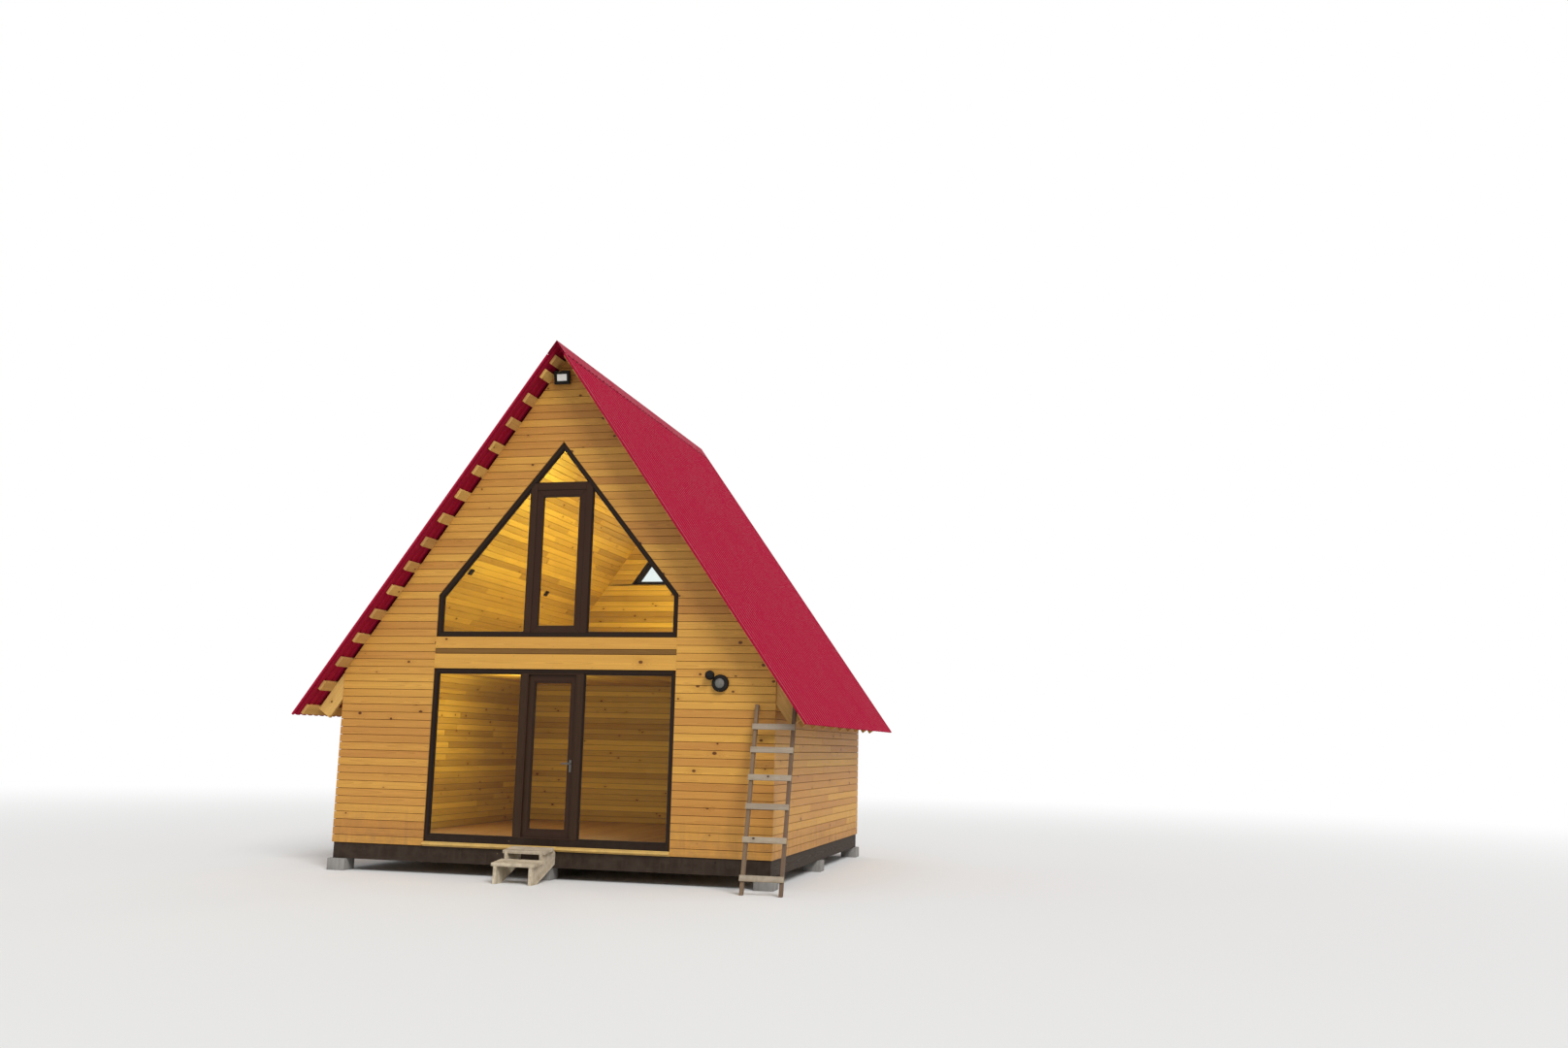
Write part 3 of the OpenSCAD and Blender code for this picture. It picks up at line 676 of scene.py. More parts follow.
def wood_group():
    """Softwood: growth rings that bend round knots, streaks, fibres and each board's tone."""
    name = "Solid Wood"
    if name in bpy.data.node_groups:
        return bpy.data.node_groups[name]
    # How often each kind of mark changes: along a board, across it and into it.
    wandering, wavy = (0.5, 1.5, 1.5), (2.5, 14.0, 14.0)
    streaky, fibrous = (0.9, 20.0, 20.0), (9.0, 420.0, 420.0)
    # Knots are drawn out along the grain, and the rings bend this far round them.
    knot_squeeze = 0.7
    knot_bend = 0.011
    # How far the log's heart wanders, and the rings with it.
    off_heart = 0.03
    off_ring = 0.006
    late_sharpness = 2.6
    # A cell without a knot, and the smallest and the largest share of the knot size.
    no_knot, smallest, largest = 0.25, 0.05, 1.3
    # A knot's sharp edge and its soft halo, as shares of its size.
    knot_edge, halo_edge = (1.0, 0.65), (5.0, 0.6)
    # How much each kind of mark darkens the wood, and how much it stands out.
    ring_dark, streak_dark, fibre_dark, halo_dark = 0.5, 2.0, 0.4, 0.25
    ring_high, fibre_high, knot_high = 0.5, 0.6, -0.4
    rare_streaks = 0.42
    redder, yellower = 0.492, 0.506
    build, source, target = start_group(
        name,
        [("Light", "color", (0.7, 0.5, 0.25, 1)), ("Dark", "color", (0.45, 0.25, 0.1, 1)),
         ("Knot", "color", (0.12, 0.05, 0.02, 1)), ("Ring Width", "float", 0.005),
         ("Knot Size", "float", 0.012), ("Knot Spacing", "float", 0.3),
         ("Streaks", "float", 0.6), ("Tone Spread", "float", 0.3)],
        [("Color", "color"), ("Late Wood", "float"), ("Knots", "float"), ("Height", "float")])
    grain = build.add("ShaderNodeAttribute", attribute_name="grain").outputs["Vector"]
    tone = build.add("ShaderNodeAttribute", attribute_name="tone").outputs["Fac"]
    along, across, depth = build.parts(grain)

    flat = build.add("ShaderNodeCombineXYZ")
    build.put(build.math("MULTIPLY", along, knot_squeeze), flat.inputs[0])
    build.put(across, flat.inputs[1])
    cells = build.add("ShaderNodeTexVoronoi", voronoi_dimensions="2D", feature="F1")
    build.put(flat.outputs[0], cells.inputs["Vector"])
    build.put(build.math("DIVIDE", 1.0, source["Knot Spacing"]), cells.inputs["Scale"])
    away = build.math("MULTIPLY", cells.outputs["Distance"], source["Knot Spacing"])
    chance = build.add("ShaderNodeSeparateColor")
    build.put(cells.outputs["Color"], chance.inputs[0])
    own_size = build.spread(chance.outputs[0], no_knot, 1.0, smallest, largest, smooth=False)
    size = build.math("MULTIPLY", source["Knot Size"], own_size)
    ratio = build.math("DIVIDE", away, size)
    knots = build.spread(ratio, *knot_edge)
    halo = build.spread(ratio, *halo_edge)

    wander = build.noise(build.stretch(grain, wandering), 1.0, 1.0)
    wander = build.spread(wander, 0.0, 1.0, -off_heart, off_heart, smooth=False)
    wave = build.noise(build.stretch(grain, wavy), 1.0, 2.0)
    wave = build.spread(wave, 0.0, 1.0, -off_ring, off_ring, smooth=False)
    deep = build.math("ADD", depth, wander)
    wide = build.math("ADD", across, wave)
    squares = build.math("MULTIPLY_ADD", deep, deep, build.math("MULTIPLY", wide, wide))
    radius = build.math("MULTIPLY_ADD", halo, knot_bend, build.math("SQRT", squares))
    turn = build.math("FRACT", build.math("DIVIDE", radius, source["Ring Width"]))
    late = build.math("POWER", turn, late_sharpness)

    streak = build.noise(build.stretch(grain, streaky), 1.0, 3.0, 0.6)
    fibre = build.noise(build.stretch(grain, fibrous), 1.0, 1.0)
    dark = build.math("MULTIPLY", late, ring_dark)
    streak = build.math("SUBTRACT", streak, rare_streaks)
    streak = build.math("MULTIPLY", streak, source["Streaks"])
    dark = build.math("MULTIPLY_ADD", streak, streak_dark, dark)
    dark = build.math("MULTIPLY_ADD", build.math("SUBTRACT", fibre, 0.5), fibre_dark, dark)
    dark = build.math("MULTIPLY_ADD", halo, halo_dark, dark, clamp=True)
    color = build.blend(dark, source["Light"], source["Dark"])
    color = build.blend(knots, color, source["Knot"])
    off_tone = build.math("SUBTRACT", tone, 0.5)
    brightness = build.math("MULTIPLY_ADD", off_tone, source["Tone Spread"], 1.0)
    shade = build.add("ShaderNodeHueSaturation")
    hue = build.spread(tone, 0.0, 1.0, redder, yellower, smooth=False)
    build.put(hue, shade.inputs["Hue"])
    build.put(brightness, shade.inputs["Value"])
    build.put(color, shade.inputs["Color"])
    build.put(shade.outputs[0], target["Color"])
    build.put(late, target["Late Wood"])
    build.put(knots, target["Knots"])
    height = build.math("MULTIPLY", late, ring_high)
    height = build.math("MULTIPLY_ADD", fibre, fibre_high, height)
    build.put(build.math("MULTIPLY_ADD", knots, knot_high, height), target["Height"])
    return build.tree


def weather_group():
    """Grime that is strongest near the ground and breaks up into spots and runs."""
    name = "Weather"
    if name in bpy.data.node_groups:
        return bpy.data.node_groups[name]
    build, source, target = start_group(
        name,
        [("Color", "color", (0.5, 0.5, 0.5, 1)), ("Grime", "color", (0.1, 0.08, 0.06, 1)),
         ("Amount", "float", 0.3), ("Everywhere", "float", 0.1),
         ("Low", "float", 0.2), ("High", "float", 1.1)],
        [("Color", "color"), ("Mask", "float")])
    running_down = (16.0, 16.0, 1.2)
    place = build.place()
    near_ground = build.spread(build.parts(place)[2], source["High"], source["Low"])
    cover = build.math("MAXIMUM", near_ground, source["Everywhere"])
    spots = build.spread(build.noise(place, 7.0, 4.0, 0.65), 0.35, 0.7)
    runs = build.spread(build.noise(build.stretch(place, running_down), 1.0, 3.0), 0.4, 0.75)
    broken = build.math("MAXIMUM", spots, runs)
    mask = build.math("MULTIPLY", build.math("MULTIPLY", cover, broken), source["Amount"],
                      clamp=True)
    build.put(build.blend(mask, source["Color"], source["Grime"]), target["Color"])
    build.put(mask, target["Mask"])
    return build.tree


def coat_group():
    """A worn coat: cloudy fading, fine scratches and specks of dust."""
    name = "Worn Coat"
    if name in bpy.data.node_groups:
        return bpy.data.node_groups[name]
    build, source, target = start_group(
        name,
        [("Coat", "color", (0.3, 0.02, 0.05, 1)), ("Faded", "color", (0.4, 0.1, 0.12, 1)),
         ("Dust", "color", (0.5, 0.45, 0.4, 1)), ("Fading", "float", 0.4),
         ("Dustiness", "float", 0.15), ("Scale", "float", 1.0)],
        [("Color", "color"), ("Dull", "float"), ("Height", "float")])
    running_down = (9.0, 9.0, 0.6)
    cloud_share = 0.6
    peel_share = 0.15
    place = build.place()
    scaled = build.add("ShaderNodeVectorMath", operation="SCALE")
    build.put(place, scaled.inputs[0])
    build.put(source["Scale"], scaled.inputs["Scale"])
    place = scaled.outputs[0]
    clouds = build.spread(build.noise(place, 1.7, 3.0), 0.35, 0.75)
    runs = build.spread(build.noise(build.stretch(place, running_down), 1.0, 3.0), 0.45, 0.8)
    uneven = build.math("MULTIPLY", build.math("ADD", clouds, runs), cloud_share)
    faded = build.math("MULTIPLY", uneven, source["Fading"], clamp=True)
    color = build.blend(faded, source["Coat"], source["Faded"])
    specks = build.spread(build.noise(place, 60.0, 3.0, 0.7), 0.5, 0.75)
    dusty = build.math("MULTIPLY", specks, source["Dustiness"])
    build.put(build.blend(dusty, color, source["Dust"]), target["Color"])
    build.put(build.math("ADD", faded, dusty, clamp=True), target["Dull"])
    peel = build.noise(place, 240.0, 1.0)
    waves = build.noise(place, 6.0, 1.0)
    build.put(build.math("MULTIPLY_ADD", peel, peel_share, waves), target["Height"])
    return build.tree


def start_material(name):
    """A new material: its builder and its Principled shader."""
    material = bpy.data.materials.new(name)
    material.use_nodes = True
    build = Tree(material.node_tree)
    return material, build, material.node_tree.nodes["Principled BSDF"]


def solid_color(color):
    """A colour with full cover."""
    return (color[0], color[1], color[2], 1.0)


def shaded(color, factor):
    """A darker or paler shade of a colour."""
    return tuple(min(1.0, channel * factor) for channel in color[:3])


def tinted(color, tint):
    """A colour with each of its channels times a factor."""
    return tuple(channel * factor for channel, factor in zip(color, tint))


def wood_finish(name, color, dark=0.5, ring=0.005, knot_size=0.013, knot_spacing=0.3, streaks=0.6,
                spread=0.3, gloss=(0.42, 0.62), relief=0.0006, grime=0.25, everywhere=0.08,
                sheen=0.3):
    """A wood finish round one colour, with the wear that its place brings."""
    if name in bpy.data.materials:
        return bpy.data.materials[name]
    warmer = (1.12, 1.0, 0.8)
    knot_brown = (0.2, 0.13, 0.12)
    roughened = 0.3
    material, build, shader = start_material(name)
    late_color = tinted([channel * dark for channel in color], warmer)
    wood = build.group(wood_group(), Light=solid_color(color), Dark=solid_color(late_color),
                       Knot=solid_color(tinted(color, knot_brown)), Ring_Width=ring,
                       Knot_Size=knot_size, Knot_Spacing=knot_spacing, Streaks=streaks,
                       Tone_Spread=spread)
    aged = build.group(weather_group(), Color=wood["Color"], Amount=grime, Everywhere=everywhere)
    build.put(aged["Color"], shader.inputs["Base Color"])
    rough = build.spread(wood["Late Wood"], 0.0, 1.0, gloss[1], gloss[0], smooth=False)
    rough = build.math("MULTIPLY_ADD", aged["Mask"], roughened, rough, clamp=True)
    build.put(rough, shader.inputs["Roughness"])
    build.put(build.bump(wood["Height"], relief), shader.inputs["Normal"])
    shader.inputs["Specular IOR Level"].default_value = sheen
    return material


def coat_finish(name, color, faded, fading=0.4, dustiness=0.15, scale=1.0, gloss=(0.3, 0.6),
                metallic=0.0, relief=0.0004, sheen=0.5):
    """A painted, plastic or metal finish with uneven wear."""
    if name in bpy.data.materials:
        return bpy.data.materials[name]
    material, build, shader = start_material(name)
    worn = build.group(coat_group(), Coat=solid_color(color), Faded=solid_color(faded),
                       Fading=fading, Dustiness=dustiness, Scale=scale)
    build.put(worn["Color"], shader.inputs["Base Color"])
    build.put(build.spread(worn["Dull"], 0.0, 0.7, *gloss), shader.inputs["Roughness"])
    build.put(build.bump(worn["Height"], relief), shader.inputs["Normal"])
    shader.inputs["Metallic"].default_value = metallic
    shader.inputs["Specular IOR Level"].default_value = sheen
    return material


def glass_finish(name, tint):
    """Clear double glazing that lets the light through, with faint dust on it."""
    if name in bpy.data.materials:
        return bpy.data.materials[name]
    material, build, shader = start_material(name)
    shader.inputs["Transmission Weight"].default_value = 1.0
    shader.inputs["IOR"].default_value = FAINT_GLOSS
    shader.inputs["Roughness"].default_value = 0.0
    dust = build.spread(build.noise(build.place(), 3.0, 4.0, 0.6), 0.45, 0.8)
    build.put(build.blend(dust, solid_color(tint), solid_color(shaded(tint, 0.94))),
              shader.inputs["Base Color"])
    light = build.add("ShaderNodeLightPath")
    clear = build.add("ShaderNodeBsdfTransparent")
    build.surface(light.outputs["Is Shadow Ray"], shader, clear, "Material Output")
    return material


def color_property(label, about, default):
    """A colour that a user may change."""
    return FloatVectorProperty(name=label, description=about, subtype="COLOR", size=3,
                               min=0.0, max=1.0, default=default)


def length_property(label, about, default, low, high):
    """A length in metres that a user may change."""
    return FloatProperty(name=label, description=about, default=default, min=low, max=high,
                         subtype="DISTANCE", unit="LENGTH", precision=4)


def angle_property(label, about, default):
    """An angle that a user may change."""
    return FloatProperty(name=label, description=about, default=default, subtype="ANGLE",
                         unit="ROTATION")


def strength_property(label, about, default, high, unit="NONE"):
    """How strong a light is."""
    return FloatProperty(name=label, description=about, default=default, min=0.0, max=high,
                         unit=unit)


class CabinBoardSettings(bpy.types.PropertyGroup):
    """Cladding, lining and floor boards."""

    cladding_pitch: length_property(
        "Cladding Pitch", "Height of one row of outer boards", 0.099, 0.05, 0.2)
    lining_pitch: length_property(
        "Lining Pitch", "Width of one row of inner boards", 0.09, 0.05, 0.2)
    floor_pitch: length_property(
        "Floor Pitch", "Width of one row of floor boards", 0.13, 0.05, 0.3)
    cladding_t: length_property(
        "Cladding Thickness", "Thickness of the outer boards", 0.02, 0.01, 0.03)
    lining_t: length_property(
        "Lining Thickness", "Thickness of the inner boards", 0.014, 0.01, 0.02)
    joint: length_property("Joint", "Open joint between two outer boards", 0.005, 0.001, 0.01)
    inner_joint: length_property(
        "Inner Joint", "Open joint between two inner boards", 0.0045, 0.0005, 0.01)
    inner_edge: length_property(
        "Inner Edge", "Chamfer along the lining boards, which makes their V-shaped joints",
        0.005, 0.0, 0.008)
    edge: length_property("Eased Edge", "Chamfer along a board's edge", 0.003, 0.0, 0.008)
    shortest: length_property("Shortest Board", "Shortest board on a long wall", 1.6, 0.5, 3.0)
    longest: length_property("Longest Board", "Longest board on a long wall", 3.6, 2.0, 6.0)
    # The dark board of the band is coloured with painted shade; it also stands back.
    set_back: length_property(
        "Set Back", "How far the dark board of the band stands back", 0.008, 0.0, 0.015)
    screw_in: length_property(
        "Screw Place", "From the edge of a board of the band to its screws", 0.025, 0.01, 0.05)
    cladding: color_property("Cladding", "Golden stained pine", (0.58, 0.29, 0.06))
    lining: color_property("Lining", "Clear pine of the lining", (0.75, 0.52, 0.1))
    # The band colour is painted shade: golden wood darkened to stand for a shadow.
    band: color_property("Band", "Dark brown board under the attic window", (0.19, 0.095, 0.025))
    floor: color_property("Floor", "Planed floor boards", (0.5, 0.31, 0.14))


class CabinTimberSettings(bpy.types.PropertyGroup):
    """Beams, rafters, joists, battens, steps and ladder."""

    edge: length_property("Rounded Edge", "Rounding of sawn edges", 0.003, 0.0, 0.01)
    worn_edge: length_property("Worn Edge", "Rounding of trodden edges", 0.006, 0.0, 0.015)
    tread_overhang: length_property(
        "Tread Overhang", "From a tread's end to the middle of its side board", 0.05, 0.02, 0.1)
    tread_screw: length_property(
        "Tread Screws", "From the middle of a tread to its screws", 0.08, 0.04, 0.1)
    stile_w: length_property("Stile Width", "Width of a ladder stile", 0.04, 0.03, 0.06)
    rung_screw: length_property(
        "Rung Screws", "From the middle of a rung to its screws", 0.02, 0.01, 0.03)
    raw: color_property("Raw Timber", "Sawn softwood", (0.62, 0.37, 0.12))
    # Very dark brown, near black, of the beams under the walls and of the walls' cores.
    very_dark: color_property(
        "Very Dark Timber", "Dark preservative stain of the base", (0.035, 0.023, 0.016))
    batten: color_property("Batten", "Pale sawn battens", (0.67, 0.42, 0.135))
    step: color_property("Steps", "Worn pale planks", (0.7, 0.61, 0.46))
    ladder: color_property("Ladder Stiles", "Weathered dark brown wood", (0.19, 0.125, 0.08))
    rung: color_property("Ladder Rungs", "Weathered grey wood", (0.36, 0.3, 0.23))
    pier: color_property("Piers", "Rough cast concrete", (0.26, 0.25, 0.235))


class CabinRoofSettings(bpy.types.PropertyGroup):
    """Roof sheets, flashings and their screws."""

    sheet: color_property("Sheet", "Wine red coat of the roof", (0.32, 0.004, 0.03))
    faded: color_property("Faded Sheet", "The same coat where it has faded", (0.36, 0.012, 0.045))
    batten_t: length_property(
        "Batten Depth", "Depth of a batten under the sheets", 0.04, 0.02, 0.05)
    batten_w: length_property("Batten Width", "Width of a batten", 0.135, 0.1, 0.15)
    batten_pitch: length_property(
        "Batten Pitch", "Distance from batten to batten", 0.385, 0.3, 0.5)
    ridge_batten: length_property(
        "Ridge Batten", "From the ridge to the first batten", 0.075, 0.06, 0.15)
    rib_pitch: length_property("Rib Pitch", "Distance from rib to rib", 0.1375, 0.1, 0.2)
    rib_w: length_property("Rib Width", "Width over the foot of a rib", 0.07, 0.05, 0.1)
    rib_h: length_property("Rib Height", "Height of a rib", 0.02, 0.015, 0.04)
    sheet_t: length_property(
        "Sheet Thickness", "Modelled thickness of a sheet", 0.003, 0.001, 0.004)
    washer_r: length_property("Washer Radius", "Radius of a screw's washer", 0.0095, 0.006, 0.015)
    cap_screw: length_property(
        "Cap Screws", "From the ridge to the screws of its cap", 0.1, 0.05, 0.15)
    pan_step: IntProperty(
        name="Screwed Pans", description="One pan in so many has a screw", default=2, min=1, max=6)


class CabinJoinerySettings(bpy.types.PropertyGroup):
    """Window frames, sashes, the glass door and their panes."""

    frame_w: length_property(
        "Frame Width", "Width of the glazed front's outer frame", 0.05, 0.03, 0.1)
    bottom_w: length_property("Bottom Width", "Height of its bottom member", 0.085, 0.05, 0.12)
    attic_w: length_property(
        "Attic Frame Width", "Width of the attic windows' outer frames", 0.055, 0.03, 0.1)
    sash_w: length_property("Sash Width", "Width of the attic sash's stiles", 0.078, 0.05, 0.1)
    mullion_in: length_property(
        "Mullion Place", "Distance of a mullion from the middle", 0.34, 0.3, 0.45)
    mullion_w: length_property("Mullion Width", "Width of a mullion or transom", 0.09, 0.05, 0.12)
    stop_w: length_property("Door Stop", "Width of the stop round the door", 0.015, 0.01, 0.02)
    door_gap: length_property("Door Gap", "Gap between leaf and frame", 0.005, 0.002, 0.01)
    door_lap: length_property("Door Lap", "How far the leaf laps its frame", 0.02, 0.01, 0.03)
    groove: length_property("Groove", "How deep a pane sits in its frame", 0.015, 0.01, 0.02)
    pane_t: length_property("Pane Thickness", "Thickness of a double pane", 0.024, 0.02, 0.032)
    edge: length_property("Eased Edge", "Rounding of the frame's edges", 0.003, 0.0, 0.006)
    bead: length_property(
        "Glazing Bead", "Width of the bead that holds a pane", 0.012, 0.006, 0.02)
    seal: length_property(
        "Seal", "How far the black seal shows beside a bead", 0.004, 0.001, 0.01)
    seal_t: length_property("Seal Thickness", "Thickness of that seal", 0.002, 0.001, 0.004)
    profile: color_property("Profile", "Dark brown of the outer frames", (0.02, 0.011, 0.007))
    middle: color_property(
        "Sash", "Brown of mullions, sashes and door leaf", (0.036, 0.017, 0.009))
    rubber: color_property("Rubber", "Black seals", (0.012, 0.012, 0.012))
    glass: color_property("Glass", "Faint tint of the panes", (0.9, 0.95, 0.94))


class CabinFittingSettings(bpy.types.PropertyGroup):
    """Lamps, handle, hinges and screws."""

    screw_r: length_property("Screw Head", "Radius of a wood screw's head", 0.0055, 0.003, 0.008)
    steel: color_property("Steel", "Dark satin metal", (0.14, 0.13, 0.12))
    zinc: color_property("Zinc", "Yellow zinc of the wood screws", (0.3, 0.24, 0.13))
    lamp_r: length_property("Lamp Radius", "Radius of the porch lamp", 0.107, 0.08, 0.15)
    bezel_in: length_property(
        "Bezel Opening", "Radius of the hole in its front ring", 0.062, 0.04, 0.08)
    bezel_reach: length_property(
        "Bezel Reach", "How far that ring stands out from the wall", 0.068, 0.06, 0.075)
    housing: color_property("Housing", "Black lamp housings", (0.012, 0.011, 0.01))
    lens: color_property("Lens", "White front of the flood lamp", (0.8, 0.8, 0.77))
    led: color_property("LED", "Yellow fields behind the flood lamp's glass", (0.5, 0.44, 0.2))
    led_r: length_property("LED Radius", "Radius of one of them", 0.005, 0.002, 0.01)
    led_pitch: length_property("LED Pitch", "Distance from one to the next", 0.018, 0.01, 0.03)
    glow: color_property("Glow", "Light of the flood lamp", (1.0, 0.96, 0.88))
    glow_strength: strength_property("Glow Strength", "How strongly its front glows", 0.15, 2.0)
    smoke: color_property("Smoky Glass", "Grey glass of the porch lamp", (0.13, 0.125, 0.11))


class CabinStudioSettings(bpy.types.PropertyGroup):
    """Camera, floor and light."""

    camera: FloatVectorProperty(name="Camera", description="Place of the camera",
                                subtype="TRANSLATION", unit="LENGTH", size=3,
                                default=(6.866, -18.71, 1.707))
    turn: angle_property("Turn", "Camera's turn to the left from +Y", 0.238752)
    tilt: angle_property("Tilt", "Camera's tilt upwards", 0.165642)
    roll: angle_property("Roll", "Camera's roll", 0.0233104)
    lens: FloatProperty(name="Lens", description="Focal length in millimetres on a 36 mm sensor",
                        default=30.54, min=10.0, max=100.0)
    floor_r: length_property("Floor Radius", "Radius of the studio floor", 60.0, 10.0, 200.0)
    fade_start: length_property(
        "Fade Start", "Where the floor starts to fade into white", 9.0, 5.0, 50.0)
    fade_end: length_property("Fade End", "Where it is white", 32.0, 10.0, 100.0)
    floor: color_property("Floor", "Pale studio floor", (0.8, 0.8, 0.79))
    sky: strength_property("Fill", "Strength of the even light from all round", 0.55, 2.0)
    sky_color: color_property("Fill Colour", "Colour of that light", (0.99, 0.99, 1.0))
    sun: strength_property("Key", "Strength of the soft main light", 2.2, 10.0)
    sun_size: angle_property("Key Softness", "Width of the main light", math.radians(25))
    sun_tilt: angle_property("Key Tilt", "Its tilt from straight above", math.radians(50))
    sun_turn: angle_property("Key Turn", "Its turn from the front to the right", math.radians(38))
    attic_light: strength_property(
        "Attic Light", "Power of each light in the attic", 40.0, 1000.0, "POWER")
    attic_color: color_property("Attic Light Colour", "Warm yellow", (1.0, 0.85, 0.4))
    ridge_light: strength_property(
        "Ridge Light", "Power of the light under the ridge", 22.0, 1000.0, "POWER")
    ridge_color: color_property("Ridge Light Colour", "Pale yellow", (0.94, 1.0, 0.55))
    room_light: strength_property(
        "Room Light", "Power of the light in the ground room", 42.0, 1000.0, "POWER")
    room_color: color_property("Room Light Colour", "Warm orange", (1.0, 0.76, 0.36))


def cladding_finish(settings):
    """Golden boards of the outer walls."""
    return wood_finish("golden_cladding", settings.cladding, dark=0.58, knot_size=0.019,
                       knot_spacing=0.38, streaks=0.4, spread=0.28, grime=0.3)


def lining_finish(settings):
    """Clear pine of the inner walls and ceilings."""
    return wood_finish("pine_lining", settings.lining, dark=0.64, knot_size=0.015,
                       knot_spacing=0.3, streaks=0.6, spread=0.5, gloss=(0.4, 0.55),
                       grime=0.0, everywhere=0.0)


def band_shade_finish(settings):
    """The middle board of the band under the attic window: its wood painted dark as shade."""
    return wood_finish("band_boards", settings.band, dark=0.6, knot_spacing=0.5, streaks=0.6,
                       spread=0.2, grime=0.12, everywhere=0.2, sheen=0.2)


def floor_finish(settings):
    """Planed boards of both floors."""
    return wood_finish("planed_floor", settings.floor, dark=0.6, knot_spacing=0.35, spread=0.25,
                       gloss=(0.3, 0.42), grime=0.15, everywhere=0.4)


def raw_finish(settings):
    """Sawn softwood of rafters and joists."""
    return wood_finish("sawn_softwood", settings.raw, dark=0.6, knot_size=0.016, knot_spacing=0.35,
                       streaks=0.5, spread=0.25, gloss=(0.6, 0.8), relief=0.0012, grime=0.15,
                       sheen=0.1)


def very_dark_finish(settings):
    """Very dark brown of the base and the walls' cores."""
    return wood_finish("stained_timber", settings.very_dark, dark=0.6, spread=0.2, relief=0.001,
                       gloss=(0.5, 0.75), grime=0.25, everywhere=0.3, sheen=0.15)


def profile_finish(settings):
    """Dark brown of the outer frames."""
    return wood_finish("dark_profile", settings.profile, dark=0.7, ring=0.004, knot_spacing=4.0,
                       knot_size=0.001, streaks=0.35, spread=0.12, gloss=(0.3, 0.42),
                       relief=0.0002, grime=0.12, everywhere=0.25, sheen=0.12)


def sash_finish(settings):
    """Brown of mullions, sashes and the door leaf."""
    return wood_finish("brown_sash", settings.middle, dark=0.65, ring=0.004, knot_spacing=4.0,
                       knot_size=0.001, streaks=0.45, spread=0.14, gloss=(0.3, 0.44),
                       relief=0.0002, grime=0.12, everywhere=0.25, sheen=0.14)


def seal_finish(settings):
    """Black rubber between a bead and its pane."""
    return coat_finish("black_seal", settings.rubber, shaded(settings.rubber, 4.0),
                       fading=0.3, dustiness=0.2, scale=3.0, gloss=(0.6, 0.85))


def steel_finish(settings):
    """Dark satin metal of handles and hinges."""
    return coat_finish("satin_steel", settings.steel, shaded(settings.steel, 0.6), fading=0.5,
                       dustiness=0.05, scale=8.0, gloss=(0.28, 0.5), metallic=0.9, relief=0.0001)


def zinc_finish(settings):
    """Yellow zinc of the wood screws."""
    return coat_finish("zinc_screws", settings.zinc, shaded(settings.zinc, 0.5), fading=0.6,
                       dustiness=0.1, scale=20.0, gloss=(0.35, 0.6), metallic=0.9, relief=0.0001)


def joinery_finishes(settings):
    """Finishes of an outer frame, its seals and the members between its panes."""
    return [profile_finish(settings), seal_finish(settings), sash_finish(settings)]


def sash_finishes(settings):
    """Finishes of a sash or leaf and its seals."""
    return [sash_finish(settings), seal_finish(settings)]


def gable_core(settings):
    """Thickness of a gable wall between its outer and its inner boards."""
    return -lines.in_y - lines.front_y - settings.cladding_t - settings.lining_t


def lay_cladding(boards, face, cover, span, settings, lengths=None):
    """Rows of outer boards, counted from the foot of the walls."""
    boards.rows(face, cover, span, settings.cladding_pitch, settings.joint, settings.cladding_t,
                settings.edge, lines.base_z, lengths=lengths)


def lay_lining(boards, face, cover, span, settings, thickness, start, finish=0, lengths=None):
    """Rows of inner boards, counted from a start line."""
    boards.rows(face, cover, span, settings.lining_pitch, settings.inner_joint, thickness,
                settings.inner_edge, start, finish, lengths)


def gable_walls(name, outside, inside, opening, settings, seed, nodes):
    """Outer boards, core and inner boards of one gable wall round its opening."""
    outer = Boards(seed)
    inner = Boards(seed + 1)
    under_apex = 0.02
    span = (lines.base_z, lines.wall_top - under_apex)
    lay_cladding(outer, outside, gable_cover(opening), span, settings)
    core_cover = gable_cover(opening, settings.cladding_t)
    lay_lining(inner, inside, core_cover, span, settings, settings.lining_t, lines.floor_z)
    levels = [lines.base_z, opening[0][1], opening[-1][1], lines.wall_top]
    for low, high in zip(levels, levels[1:]):
        if high > low:
            for part in core_cover(low, high):
                outer.add(outside, part, gable_core(settings), depth=settings.cladding_t, finish=1)
    finishes = [cladding_finish(settings), very_dark_finish(bpy.context.scene.cabin_timber)]
    outer.piece(name + "_cladding", finishes, "pine_cladding", nodes=nodes)
    inner.piece(name + "_inner_boards", [lining_finish(settings)], "lining_boards")


